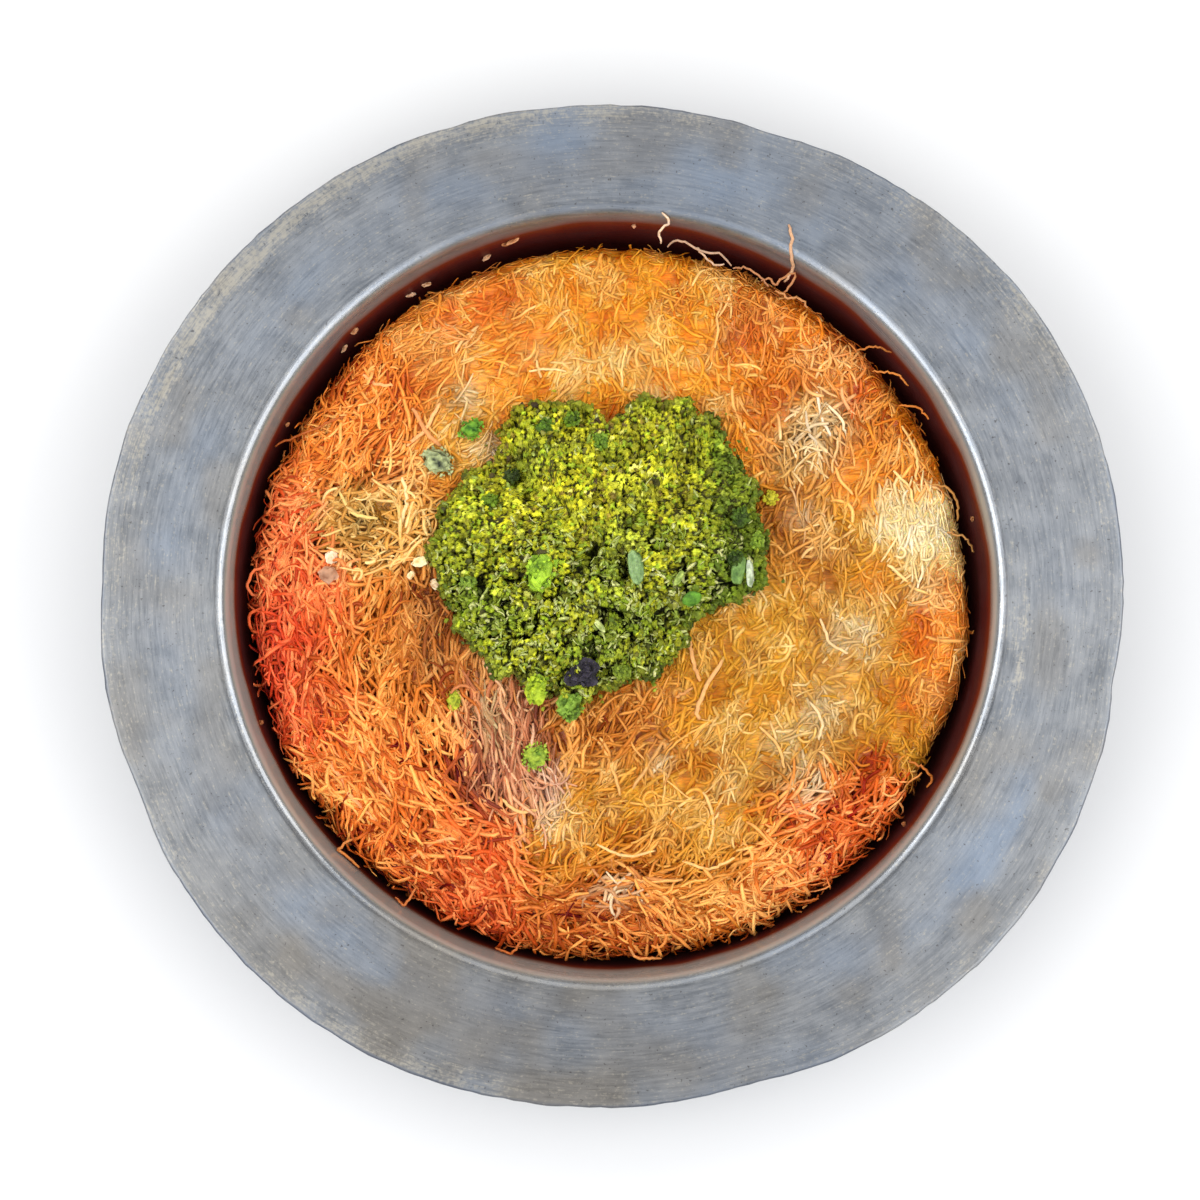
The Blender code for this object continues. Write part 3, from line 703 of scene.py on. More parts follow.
# Toasted patches: middle; reach; middle, dark and light colour; the shreds' heading and its spread in
# degrees; how loose they lie, from 0 where syrup has sunk them to 1 where they stand up; their length
TOASTED_PATCHES = {
    "golden back": ((3, 50), 22, "#f09e28", "#d86e0e", "#fdc662", 90, 80, 0.1, 6),
    "orange back left": ((-25, 48), 14, "#fca038", "#e07a26", "#ffce7a", 30, 65, 0.15, 7),
    "orange left shoulder": ((-46, 36), 14, "#f68a30", "#b44210", "#ffbc68", 60, 65, 0.45, 9),
    "coral left": ((-59, 8), 11, "#d84c1c", "#861606", "#f89050", 85, 60, 0.7, 9),
    "red left": ((-59, -14), 13, "#e44422", "#7c1004", "#fc8450", 105, 55, 0.85, 9),
    "pale curls left": ((-44, 14), 9, "#e0a048", "#946014", "#fbd68c", 20, 90, 0.6, 7),
    "orange left": ((-43, -12), 11, "#d87a24", "#943c08", "#f6ac54", 95, 55, 0.65, 9),
    "brown by the heap": ((-33, -10), 7, "#a25a20", "#682a08", "#d8944e", 85, 40, 0.3, 9),
    "mauve brown": ((-22, -30), 8, "#b86c46", "#723626", "#e0a47a", 97, 25, 0.5, 13),
    "orange front left": ((-42, -37), 14, "#e27224", "#821e04", "#fcac56", 125, 50, 0.9, 11),
    "red front left edge": ((-28, -55), 11, "#d4501a", "#6e0c02", "#fc9450", 150, 60, 0.95, 10),
    "orange front edge": ((2, -59), 13, "#ba5414", "#721a02", "#ea984a", 168, 50, 0.9, 11),
    "golden front": ((6, -42), 14, "#da9226", "#b4620a", "#f4ba5c", 60, 70, 0.18, 8),
    "red front right": ((41, -44), 9, "#e0641e", "#962404", "#fca860", 30, 60, 0.75, 9),
    "orange front right edge": ((27, -57), 9, "#d86e22", "#8e2c06", "#f8b060", 18, 55, 0.9, 10),
    "golden right": ((42, -10), 16, "#da9a2c", "#b26c10", "#facf7c", 70, 75, 0.15, 6),
    "pale right": ((57, 12), 5.5, "#ffe09a", "#f6c470", "#ffeac0", 95, 20, 0.02, 9),
    "orange right shoulder": ((60, -3), 6, "#f08a2a", "#c8500a", "#fcc070", 85, 45, 0.2, 8),
    "orange right edge": ((61, -13), 9, "#ff9c34", "#de6e18", "#ffc878", 80, 50, 0.2, 6),
    "pale back right": ((38, 29), 6, "#d8a860", "#946628", "#fae0ac", 70, 90, 0.5, 7),
    "golden right of the heap": ((33, 8), 7, "#d08630", "#985010", "#f6be6c", 75, 60, 0.25, 8),
    "orange back right": ((32, 45), 12, "#e8801e", "#ac460a", "#fcb860", 100, 70, 0.26, 8),
    "orange right": ((50, 30), 9, "#f08e20", "#bc5a0a", "#fec064", 80, 60, 0.28, 8),
    "syrup pool by the heap": ((-25, 30), 6, "#e8a43a", "#cc7c1e", "#fad088", 60, 80, 0.08, 6),
    "brown in front of the heap": ((0, -27), 8, "#c47020", "#883606", "#eaa654", 70, 60, 0.4, 9),
}
COLOURS = (2, 3, 4)
HEADING, SPREAD, LOOSENESS, LENGTH = 5, 6, 7, 8
# What the middle, dark and light colours become in tufts, and how much of it at most
TUFT_COLOURS = ("#ecc27a", "#9a6430", "#fae2b4")
TUFT_SHARE = 0.3
TONE_LIMIT = 1.25
# Ragged borders of the patches: how far, patch size and seeds for each way
BORDERS = ((4.0, 12.0, 21, 22), (2.0, 4.5, 23, 24))
# Spots of another colour, where shreds stayed pale, browned or gathered syrup: place, reach, colour
# of what is on top and of what lies between
SPOTS = (
    (-27, 35, 3.5, "#ecd6a8", "#c08a48"), (5, 43, 4.0, "#f4d088", "#e09c3c"),
    # The greyish spot at (-20.5, 26) is partly the syrup pool's own grey-brown and partly a painted sheen
    (-20.5, 26, 2.6, "#cfc0a8", "#a08462"), (37, -21, 4.8, "#f6e2b8", "#b89458"),
    (30, -27, 3.8, "#f2dcac", "#bc944c"), (43, -8, 4.8, "#f4e0b8", "#b8945c"),
    (38, 30, 4.5, "#f4e0b8", "#947040"), (34, 14, 3.0, "#e0c098", "#a4743c"),
    (9, -30, 3.0, "#ecdcb4", "#b88440"), (1, -52, 3.0, "#f2dcb4", "#a06c34"),
    (-45, 14, 5.0, "#ecc87c", "#906420"), (-11, -33, 2.6, "#c8b4a4", "#90705c"),
    (-11, -39, 2.2, "#d0bca0", "#94744c"), (-21, -23, 3.5, "#c4a878", "#8a6238"),
    (-22, -33, 3.5, "#b87858", "#7c4030"), (45, 36, 3.5, "#e06c20", "#b03c08"),
    (-40, 22, 3.0, "#d87a34", "#a04814"), (-8, 55, 4.0, "#f09428", "#d46a10"),
    (24, 47, 4.0, "#d8641c", "#a83c0a"), (56, 0, 2.4, "#f6d49c", "#d89a50"),
    (-14, 44, 3.0, "#f8cc84", "#dc9238"), (-30, 50, 4.0, "#ec7c2c", "#cc5c18"),
    (47, -30, 3.0, "#e06018", "#a83408"), (20, 62, 3.0, "#dc9244", "#a8601c"),
    (28, -19, 4.0, "#eca430", "#d88818"), (14, -23, 4.0, "#eca430", "#d88a18"),
    (6, -35, 4.5, "#f0ac38", "#e09420"), (16, -43, 4.0, "#e8a63c", "#d08e24"),
    (47, 3, 3.4, "#ee9428", "#d87a14"), (52, -19, 3.2, "#ee8420", "#d06410"),
    (55, -8, 2.8, "#ec7c20", "#cc5c10"), (48, 45, 3.4, "#d85a1a", "#b03c0a"),
    (41, 22, 3.0, "#dc8228", "#b4641a"), (-23, 52, 4.5, "#f07828", "#d85c14"),
    (8, 35, 3.6, "#f4d090", "#dca04c"), (30, 38, 4.0, "#e07a20", "#b8540c"),
    (48, 20, 3.0, "#ec9830", "#d47c1c"), (35, -33, 4.0, "#f6e2bc", "#b89458"),
    (22, -33, 3.0, "#f0d090", "#c08c3c"),
)


def tufts(x, y):
    """Where shreds gather on pressed dough and stay paler, from 0 in the smooth amber between to 1."""
    return smoothstep(-0.1, 0.6, drift(x, y, 4.2, 45))


def patch_shares(x, y):
    """How much each toasted patch counts at places on the plan, with ragged borders."""
    shifted_x, shifted_y = x, y
    for shift, size, seed_x, seed_y in BORDERS:
        shifted_x = shifted_x + shift * drift(x, y, size, seed_x)
        shifted_y = shifted_y + shift * drift(x, y, size, seed_y)
    shares = []
    for middle, reach, *_ in TOASTED_PATCHES.values():
        away = np.hypot(shifted_x - middle[0], shifted_y - middle[1])
        shares.append(np.exp(-1.6 * (away / reach) ** 2) + 1e-7 / (1.0 + away))
    shares = np.array(shares)
    return shares / shares.sum(axis=0)


def patch_value(shares, index):
    """A number of the toasted patches, blended at places by their shares."""
    values = np.array([float(patch[index]) for patch in TOASTED_PATCHES.values()])
    return np.tensordot(values, shares, axes=1)


def patch_heading(shares):
    """Which way the shreds run at places, blended as lines that have no front end."""
    headings = 2.0 * np.radians([float(patch[HEADING]) for patch in TOASTED_PATCHES.values()])
    return np.arctan2(np.tensordot(np.sin(headings), shares, axes=1),
                      np.tensordot(np.cos(headings), shares, axes=1)) / 2.0


def toasted_colour(x, y, shares, tone):
    """The pastry's colour at places: its middle colour at tone 0, dark at -1 and light at 1.

    Tone may have a second axis, for places along each shred.
    """
    kept = [np.array([linear(patch[index]) for patch in TOASTED_PATCHES.values()]) for index in COLOURS]
    colours = [np.tensordot(shares, tints, axes=([0], [0])) for tints in kept]
    pale = (TUFT_SHARE * tufts(x, y) * smoothstep(0.45, 0.2, patch_value(shares, LOOSENESS)))[..., None]
    colours = [colour + (linear(tint) - colour) * pale for colour, tint in zip(colours, TUFT_COLOURS)]
    uneven = 0.55 * drift(x, y, 6.0, 26) + 0.4 * drift(x, y, 2.3, 27)
    ragged = smoothstep(-0.9, 0.3, drift(x, y, 1.8, 28))
    for spot_x, spot_y, size, top, below in SPOTS:
        share = np.exp(-((x - spot_x) ** 2 + (y - spot_y) ** 2) / size ** 2)[..., None] * ragged[..., None]
        tints = (0.45 * linear(top) + 0.55 * linear(below), linear(below), linear(top))
        colours = [colour + (tint - colour) * share for colour, tint in zip(colours, tints)]
    while np.ndim(tone) > np.ndim(x):
        colours = [colour[..., None, :] for colour in colours]
        uneven = uneven[..., None]
        x = x[..., None]
    middle, dark, light = colours
    tone = np.clip(tone + uneven, -TONE_LIMIT, TONE_LIMIT)[..., None]
    return np.where(tone > 0.0, middle + tone * (light - middle), middle - tone * (dark - middle))


# The pile: how high what lies on the skin reaches so far, over the skin's plan

CELL = 0.4
PILE_HALF = SKIN_REACH + 2.0
CELLS = int(2.0 * PILE_HALF / CELL)
# Pairs of values: where the pastry is pressed and where it is loose
SUNK = (0.25, 1.0)
CEILING = (0.14, 0.95)
SHRED_REST = (0.1, 0.85)
SHRED_THICKNESS = (0.45, 1.0)
COLOUR_VARIETY = (0.18, 0.54)
# How shreds wander: the shortest and longest wave, and the widest swing in radians
WANDER = ((2.5, 5.0, 0.16), (6.0, 14.0, 0.4))
# How steeply a shred can bend down between the places that it rests on, per millimetre
BRIDGING = 0.3
# How much of what is over the ceiling sinks in
SINKING = 0.8


def between(pair, share):
    """A value between the two of a pair."""
    return pair[0] + (pair[1] - pair[0]) * share


def cell_of(plan):
    """The pile's row and column for places on the plan."""
    index = np.clip(((plan + PILE_HALF) / CELL).astype(int), 0, CELLS - 1)
    return index[..., 1], index[..., 0]


def cell_middles():
    """The plan's x and y at the middle of each cell of the pile."""
    middles = (np.arange(CELLS) + 0.5) * CELL - PILE_HALF
    return np.meshgrid(middles, middles)


# Where shreds lie thicker at the edge: direction in degrees, how much, spread
LOOSE_EDGES = ((-9.0, 1.9, 14.0), (20.0, 0.7, 8.0))
# Heights over the table between which the relief sets in
RELIEF_HEIGHTS = (6.0, 12.0)


def skin_relief():
    """The solid's relief over the plan, level under the heap and still at the foot."""
    x, y = cell_middles()
    points, outward = on_skin(np.stack([x, y], axis=-1), np.zeros_like(x))
    across, along, height = np.moveaxis(points, -1, 0)
    loose = smoothstep(LEVEL_MARGIN, LEVEL_MARGIN + LEVEL_FADE, beyond_heap(across, along))
    upper = smoothstep(*RELIEF_HEIGHTS, height)
    edge = smoothstep(PASTRY_RADIUS - PASTRY_EDGE_RADIUS, PASTRY_RADIUS, np.hypot(across, along))
    flat = points.reshape(-1, 3)
    rise = unevenness(flat, TOP_RELIEF).reshape(x.shape) * loose * upper
    swell = unevenness(flat, EDGE_RELIEF).reshape(x.shape) * edge * upper
    loose_edge = with_marks(0.0, np.degrees(np.arctan2(along, across)), LOOSE_EDGES)
    relief = outward[..., 2] * rise + swell + loose_edge * edge * upper
    return np.where(np.hypot(x, y) < SKIN_REACH, relief, 0.0)


def blurred(field, cells):
    """A field over the pile's cells, evened out over a few cells each way."""
    for axis in (0, 1):
        field = sum(np.roll(field, step, axis=axis) for step in range(-cells, cells + 1)) / (2 * cells + 1)
    return field


def lay(pile, ceiling, looseness, plan, half_width):
    """Rest shreds on the pile, each bridging the hollows under it, and add them to it.

    Returns the heights of their middles. Over the ceiling they sink into each other, as in syrup.
    """
    cells = cell_of(plan)
    rest = pile[cells]
    stride = np.linalg.norm(np.diff(plan[:, :2], axis=1), axis=-1).mean(axis=1)[:, None]
    for _ in range(3):
        rest[:, 1:] = np.maximum(rest[:, 1:], rest[:, :-1] - BRIDGING * stride)
        rest[:, :-1] = np.maximum(rest[:, :-1], rest[:, 1:] - BRIDGING * stride)
    rest[:, 1:-1] = (rest[:, :-2] + 2.0 * rest[:, 1:-1] + rest[:, 2:]) / 4.0
    middle = rest + half_width[:, None] * between(SHRED_REST, looseness[cells])
    middle = middle - SINKING * np.maximum(middle - ceiling[cells], 0.0)
    side = np.gradient(plan, axis=1)[..., ::-1] * (-1.0, 1.0)
    side = side / np.maximum(np.linalg.norm(side, axis=-1, keepdims=True), 1e-6)
    thick = half_width[:, None] * between(SHRED_THICKNESS, looseness[cells])
    for step in (-0.8, 0.0, 0.8):
        spots = cell_of(plan + side * (step * half_width)[:, None, None])
        np.maximum.at(pile, spots, middle + thick * (0.8 - 0.5 * abs(step)))
    return middle


def smooth_path(corners, count):
    """Evenly spaced points of a smooth curve through corners."""
    corners = np.array(corners)
    padded = np.concatenate([2 * corners[:1] - corners[1:2], corners, 2 * corners[-1:] - corners[-2:-1]])
    turn = np.linspace(0.0, len(corners) - 1.0 - 1e-6, count)
    index = turn.astype(int)
    share = (turn - index)[:, None]
    before, start, end, after = (padded[index + step] for step in range(4))
    third = 3 * start - before - 3 * end + after
    second = 2 * before - 5 * start + 4 * end - after
    return 0.5 * (2 * start + share * (end - before + share * (second + share * third)))


def wandering_paths(draw, start, heading, length, bend, rings):
    """Paths on the plan through their middles: a heading, a length, a bend and a little wander."""
    count = len(start)
    share = np.linspace(-0.5, 0.5, rings)[None]
    run = length[:, None] * share
    turn = heading[:, None] + bend[:, None] * share
    for shortest, longest, swing in WANDER:
        wave = draw.uniform(shortest, longest, (count, 1))
        phase = draw.uniform(0.0, math.tau, (count, 1))
        turn = turn + draw.uniform(0.0, swing, (count, 1)) * np.sin(math.tau * run / wave + phase)
    stride = (length / (rings - 1))[:, None]
    walked = np.cumsum(polar(stride, turn), axis=1)
    return start[:, None] + walked - walked[:, rings // 2][:, None]


def tube_angles(sides):
    """Where the corners of a tube's ring lie, from straight below."""
    return -math.pi / 2.0 + math.tau * np.arange(sides) / sides


def shred_tubes(points, outward, half_width, flatness, sides):
    """Closed tubes along many paths at once, thinner at the ends, as (shreds, corners, 3)."""
    along = np.gradient(points, axis=1)
    along /= np.maximum(np.linalg.norm(along, axis=-1, keepdims=True), 1e-6)
    across = np.cross(outward, along)
    across /= np.maximum(np.linalg.norm(across, axis=-1, keepdims=True), 1e-6)
    upward = np.cross(along, across)
    share = np.linspace(-1.0, 1.0, points.shape[1])
    width = half_width[:, None] * (1.0 - 0.4 * np.abs(share) ** 6)
    angle = tube_angles(sides)
    height = width * flatness[:, None]
    ring = (np.cos(angle)[:, None] * across[:, :, None] * width[..., None, None]
            + np.sin(angle)[:, None] * upward[:, :, None] * height[..., None, None])
    return (points[:, :, None] + ring).reshape(len(points), -1, 3)


# What is left of red, green and blue on a shred's underside, as painted shade under it
PAINTED_UNDERSIDE_SHADE = (0.72, 0.48, 0.3)


def tube_colours(colours, sides):
    """Colours for the corners of tubes: each ring's own on top and darker and redder below, as painted shade.
    """
    below = smoothstep(0.2, -0.9, np.sin(tube_angles(sides)))[:, None]
    return (colours[:, :, None] * (1.0 - below * (1.0 - np.array(PAINTED_UNDERSIDE_SHADE)))).reshape(len(colours), -1, 3)


# Shreds by kind, from the lowest up: how many; rings and sides of each; width; share of the patch's
# length; middle tone; where they start, from the axis; how many are wanted where the pastry is pressed
# and where it is loose; how many curl up; and how far an end may stand up
SHRED_KINDS = {
    # Lower kinds have a darker middle tone and upper kinds a lighter one: painted shade and light by layer
    "lower_shreds": dict(count=1300, rings=9, sides=3, width=(0.4, 0.66), length=(0.8, 1.35), tone=-0.4,
                         reach=(0.0, 64.0), wanted=(0.25, 1.2), curly=0.1, stand=0.0, seed=31),
    "pressed_shreds": dict(count=5500, rings=6, sides=3, width=(0.42, 0.9), length=(0.35, 0.9), tone=0.05,
                           reach=(0.0, 62.0), wanted=(1.1, 0.3), curly=0.1, stand=0.0, seed=32),
    "edge_shreds": dict(count=2300, rings=9, sides=3, width=(0.3, 0.72), length=(0.35, 1.15), tone=-0.05,
                        reach=(54.0, 70.0), wanted=(0.7, 1.0), curly=0.22, stand=2.6, seed=33),
    "upper_shreds": dict(count=1700, rings=11, sides=4, width=(0.3, 0.74), length=(0.5, 1.4), tone=0.2,
                         reach=(0.0, 63.0), wanted=(0.06, 1.1), curly=0.2, stand=1.5, seed=34),
    "fine_shreds": dict(count=2100, rings=6, sides=3, width=(0.3, 0.62), length=(0.3, 0.8), tone=0.12,
                        reach=(0.0, 62.0), wanted=(0.5, 0.9), curly=0.18, stand=0.8, seed=35),
}
BATCH = 150
# How many of the shreds at the edge point out over the gap
FRINGE_SHARE = 0.3


def draw_starts(draw, kind):
    """Places on the plan for a kind of shred, more of them where the pastry suits it."""
    spots = np.empty((0, 2))
    low, high = kind["reach"]
    tries = 4 * kind["count"]
    while len(spots) < kind["count"]:
        reach = np.sqrt(draw.uniform(low ** 2, high ** 2, tries))
        angle = draw.uniform(0.0, math.tau, tries)
        tried = polar(reach, angle)
        loose = patch_value(patch_shares(*tried.T), LOOSENESS)
        gathered = between((between((0.35, 1.2), tufts(*tried.T)), 1.0), smoothstep(0.2, 0.6, loose))
        kept = draw.uniform(0.0, 1.0, tries) < between(kind["wanted"], loose) * gathered
        kept &= beyond_heap(*tried.T) > -1.0
        spots = np.concatenate([spots, tried[kept]])
    return spots[:kind["count"]]


def shred_plans(draw, kind, start, shares):
    """Paths on the plan for shreds that start at places: combed by patch, some of them curled."""
    count = len(start)
    combed = 0.9 * drift(*start.T, 5.0, kind["seed"]) + draw.normal(0.0, 0.4, count)
    heading = patch_heading(shares) + np.radians(patch_value(shares, SPREAD)) * combed
    fringe = draw.uniform(0.0, 1.0, count) < FRINGE_SHARE * smoothstep(56.0, 62.0, np.hypot(*start.T))
    heading = np.where(fringe, np.arctan2(start[:, 1], start[:, 0]) + draw.normal(0.0, 0.5, count), heading)
    length = patch_value(shares, LENGTH) * draw.uniform(*kind["length"], count)
    curl = draw.uniform(1.4, 5.2, count) * draw.choice((-1.0, 1.0), count)
    bend = np.where(draw.uniform(0.0, 1.0, count) < kind["curly"], curl, draw.normal(0.0, 0.45, count))
    return wandering_paths(draw, start, heading, length, bend, kind["rings"])


def standing_ends(draw, kind, count):
    """How far shreds stand off the pile along their length, each at one end only."""
    share = np.linspace(0.0, 1.0, kind["rings"])[None]
    share = np.where(draw.uniform(0.0, 1.0, (count, 1)) < 0.5, share, 1.0 - share)
    height = kind["stand"] * draw.uniform(0.0, 1.0, (count, 1)) ** 2
    return height * smoothstep(0.45, 1.0, share)


def make_shreds(name, kind, pile, ceiling, looseness, material):
    """All the shreds of a kind, laid on the pile in batches, as one mesh."""
    draw = np.random.default_rng(kind["seed"])
    starts = draw_starts(draw, kind)
    shapes = []
    colours = []
    for first in range(0, kind["count"], BATCH):
        start = starts[first:first + BATCH]
        count = len(start)
        shares = patch_shares(*start.T)
        loose = patch_value(shares, LOOSENESS)
        plan = shred_plans(draw, kind, start, shares)
        half_width = draw.uniform(*kind["width"], count) / 2.0 * (0.9 + 0.3 * loose)
        middle = lay(pile, ceiling, looseness, plan, half_width)
        standing = standing_ends(draw, kind, count) * (0.3 + 0.7 * loose[:, None])
        points, outward = on_skin(plan, middle + standing)
        flatness = 0.4 + 0.4 * loose + draw.uniform(-0.1, 0.1, count)
        shapes.append(shred_tubes(points, outward, half_width, flatness, kind["sides"]))
        # Shreds sunk under the ceiling are darker and standing ends lighter: painted shade and painted light
        # by depth
        proud = np.clip((middle - ceiling[cell_of(plan)]) / 1.2, -1.0, 0.2)
        fading = draw.normal(0.0, 0.3, (count, 1)) * np.linspace(-1.0, 1.0, kind["rings"])
        varied = draw.normal(0.0, 1.0, (count, 1)) * between(COLOUR_VARIETY, loose)[:, None]
        tone = kind["tone"] + 0.4 * proud + 0.25 * standing + fading + varied
        colours.append(tube_colours(toasted_colour(*start.T, shares, tone), kind["sides"]))
    faces = tube_faces(kind["rings"], kind["sides"])
    make_piece(name, np.concatenate(shapes), faces, np.concatenate(colours), material, "baked_pastry")


# Single shreds that stand out in colour and lie on top: corners of their path on the plan, width, colour
MARKED_SHREDS = (
    (((-14.6, 40.2), (-11.4, 40.6), (-8.0, 40.2)), 0.5, "#f0ca88"),
    (((-13.4, 42.2), (-12.6, 39.0)), 0.5, "#e8b874"),
    (((19.8, -11.6), (17.4, -15.6), (15.4, -20.2), (15.7, -22.4)), 0.85, "#e2a868"),
    (((13.8, -7.8), (14.6, -11.6), (15.8, -15.4)), 0.8, "#d89c5c"),
    (((14.4, -16.6), (11.4, -18.4)), 0.6, "#d09050"),
    (((37.0, 36.4), (37.6, 32.4), (39.4, 28.4)), 0.6, "#e4d0b0"),
    (((38.6, 34.2), (41.2, 31.6), (42.4, 28.4)), 0.6, "#ecd2a4"),
    (((35.0, 33.0), (35.4, 29.6), (37.0, 26.8)), 0.6, "#d4bc98"),
    (((52.4, 30.6), (54.6, 25.6), (54.8, 20.6)), 0.6, "#ecbc70"),
    (((50.4, 22.4), (53.6, 19.0), (54.4, 14.6)), 0.6, "#f0c880"),
    (((26.4, -23.6), (29.6, -26.8), (30.8, -31.0)), 0.6, "#e0ac64"),
    (((35.4, -19.0), (37.4, -22.4), (37.0, -26.0)), 0.6, "#e4c490"),
    (((37.4, -4.4), (39.0, -8.4), (42.4, -10.6)), 0.6, "#e4c088"),
    (((-36.6, 26.6), (-33.0, 30.0), (-30.6, 34.6)), 0.8, "#f0b070"),
    (((-45.0, 40.4), (-42.4, 38.0), (-39.0, 37.6)), 0.7, "#f0a868"),
    (((-48.6, 18.6), (-46.0, 14.6), (-41.6, 13.6)), 0.7, "#e8c474"),
    (((-41.6, 19.4), (-38.4, 16.6), (-37.6, 12.4)), 0.7, "#dcb468"),
    (((-37.4, 21.0), (-36.4, 17.0), (-37.4, 13.0)), 0.8, "#f4cc90"),
    (((-35.4, 33.4), (-32.6, 28.6), (-30.4, 26.6)), 0.9, "#dc9458"),
    (((-20.0, -36.0), (-16.4, -38.6), (-13.0, -38.2)), 0.7, "#e8b874"),
    (((-36.4, -47.4), (-31.0, -44.0), (-26.6, -43.0)), 0.8, "#f0a060"),
    (((-50.4, -28.4), (-46.4, -35.0), (-41.4, -40.4)), 0.9, "#f4a464"),
    (((-46.4, -24.0), (-42.6, -31.0), (-37.6, -37.4)), 0.8, "#f4ac68"),
    (((12.6, -47.4), (17.6, -48.6), (22.4, -46.6)), 0.6, "#ecb870"),
    (((-2.4, -44.4), (2.6, -46.4), (8.0, -45.6)), 0.6, "#ecc07c"),
)
MARKED_RINGS = 14
SINGLE_SIDES = 5


def make_single_shreds(name, shreds, points, outward, half_width, flatness, material):
    """Single shreds along their paths, each in its own colour, as one mesh."""
    rings = points.shape[1]
    tubes = shred_tubes(points, outward, half_width, np.full(len(points), flatness), SINGLE_SIDES)
    colours = np.array([linear(colour) for _, _, colour in shreds])
    colours = np.repeat(colours[:, None], rings * SINGLE_SIDES, axis=1)
    make_piece(name, tubes, tube_faces(rings, SINGLE_SIDES), colours, material, "baked_pastry")


def make_marked_shreds(pile, ceiling, looseness, material):
    """The single shreds that stand out, laid on top of the others."""
    plan = np.array([smooth_path(corners, MARKED_RINGS) for corners, _, _ in MARKED_SHREDS])
    plan += np.random.default_rng(36).normal(0.0, 0.1, plan.shape)
    half_width = np.array([width for _, width, _ in MARKED_SHREDS]) / 2.0
    points, outward = on_skin(plan, lay(pile, ceiling, looseness, plan, half_width) + 0.1)
    make_single_shreds("marked_shreds", MARKED_SHREDS, points, outward, half_width, 0.6, material)


MASS_STEPS = 250
FOOT_FADE = 4.0


def make_mass(pile, bare, looseness, material):
    """The mass of dough under and between the shreds, which sink into it where syrup has soaked it."""
    plan = square_to_disc(MASS_STEPS) * (SKIN_REACH - 0.05)
    cells = cell_of(plan)
    soaked = blurred(pile, 1) - 0.18
    lift = (soaked + (bare + 0.2 - soaked) * smoothstep(0.1, 0.75, looseness) * 0.8)[cells]
    reach = np.hypot(plan[..., 0], plan[..., 1])
    lift = lift * smoothstep(SKIN_REACH, SKIN_REACH - FOOT_FADE, reach)
    points, _ = on_skin(plan, lift)
    x, y = np.moveaxis(plan, -1, 0)
    # The mass is darker than the shreds, partly as syrup-soaked dough, and darker still where loose shreds
    # stand over it, as painted shade in the deep gaps
    tone = -0.3 - 0.6 * looseness[cells] + 0.25 * drift(x, y, 1.2, 41)
    colours = toasted_colour(x, y, patch_shares(x, y), tone)
    make_piece("pastry_mass", points.reshape(1, -1, 3), sheet_faces(MASS_STEPS), colours, material,
               "baked_pastry", "kunafa")


def make_pastry():
    """The pastry: shreds laid kind by kind on a pile, then the mass that fills in between them."""
    x, y = cell_middles()
    relief = skin_relief()
    looseness = blurred(patch_value(patch_shares(x, y), LOOSENESS), 3)
    bare = relief - between(SUNK, looseness)
    ceiling = relief + between(CEILING, looseness) * (1.0 + 0.6 * drift(x, y, 3.5, 42))
    pile = bare.copy()
    shreds = toasted_dough("baked shredded dough", 0.4, 0.1, 0.5, False)
    soaked = toasted_dough("syrup-soaked shredded dough", 0.36, 0.16, 0.6, False)
    pressed = toasted_dough("pressed dough under syrup", 0.36, 0.16, 0.6, True)
    for name, kind in SHRED_KINDS.items():
        make_shreds(name, kind, pile, ceiling, looseness, soaked if name == "pressed_shreds" else shreds)
    make_marked_shreds(pile, ceiling, looseness, shreds)
    make_mass(pile, bare, looseness, pressed)


# Pistachio: its relief is a raster of stamped crumbs, over a square round the heap's middle

GRAIN_CELL = 0.19
HEAP_HALF = 36.0
GRAIN_CELLS = int(2.0 * HEAP_HALF / GRAIN_CELL)
# Hollows between lumps: place, reach and depth
HEAP_HOLLOWS = (
    (-5.5, 4.4, 2.0, 3.6), (-3.2, 7.4, 1.5, 2.6), (2.6, 4.2, 1.5, 3.0), (-15.2, 17.4, 1.3, 2.2),
    (-16.6, 20.0, 1.5, 2.8), (4.2, -4.8, 1.8, 3.2), (9.6, -4.2, 1.8, 3.2), (-23.3, 1.2, 1.6, 3.0),
    (-11.6, -11.4, 1.8, 3.0), (22.6, 5.4, 1.8, 2.6), (12.4, 3.6, 1.2, 2.2), (-18.6, -1.6, 1.3, 2.4),
    (-2.4, -2.2, 1.3, 2.4), (-3.6, -9.6, 1.7, 2.6), (-25.6, 10.0, 1.2, 1.8), (18.0, 0.6, 1.4, 2.4),
    (0.4, -13.4, 1.4, 2.4), (17.4, 14.0, 1.2, 1.6), (-9.6, 27.0, 1.2, 1.8), (7.0, -11.6, 1.3, 2.2),
)
# Crumbs stamped into the relief: how many, smallest and largest
STAMPED_CRUMBS = ((200, 1.2, 1.8), (13500, 0.4, 1.05))
# Crumb colours, each with its share
CRUMB_COLOURS = (("#b2ae22", 26), ("#a29c16", 30), ("#8a8a14", 18), ("#86981e", 14), ("#c8c45c", 4),
                 ("#766420", 6), ("#4a3a20", 3))
GREEN_NUT = "#5a7216"
BRIGHT_NUT = "#c4ca40"
# Painted shade: the dark colour that the gaps between crumbs show
SHADED_GAP_NUT = "#3f3c0c"
# How much light the deepest gap keeps, and how much more the open crumbs get
GAP_LIGHT = 0.07
OPEN_LIGHT = 1.6
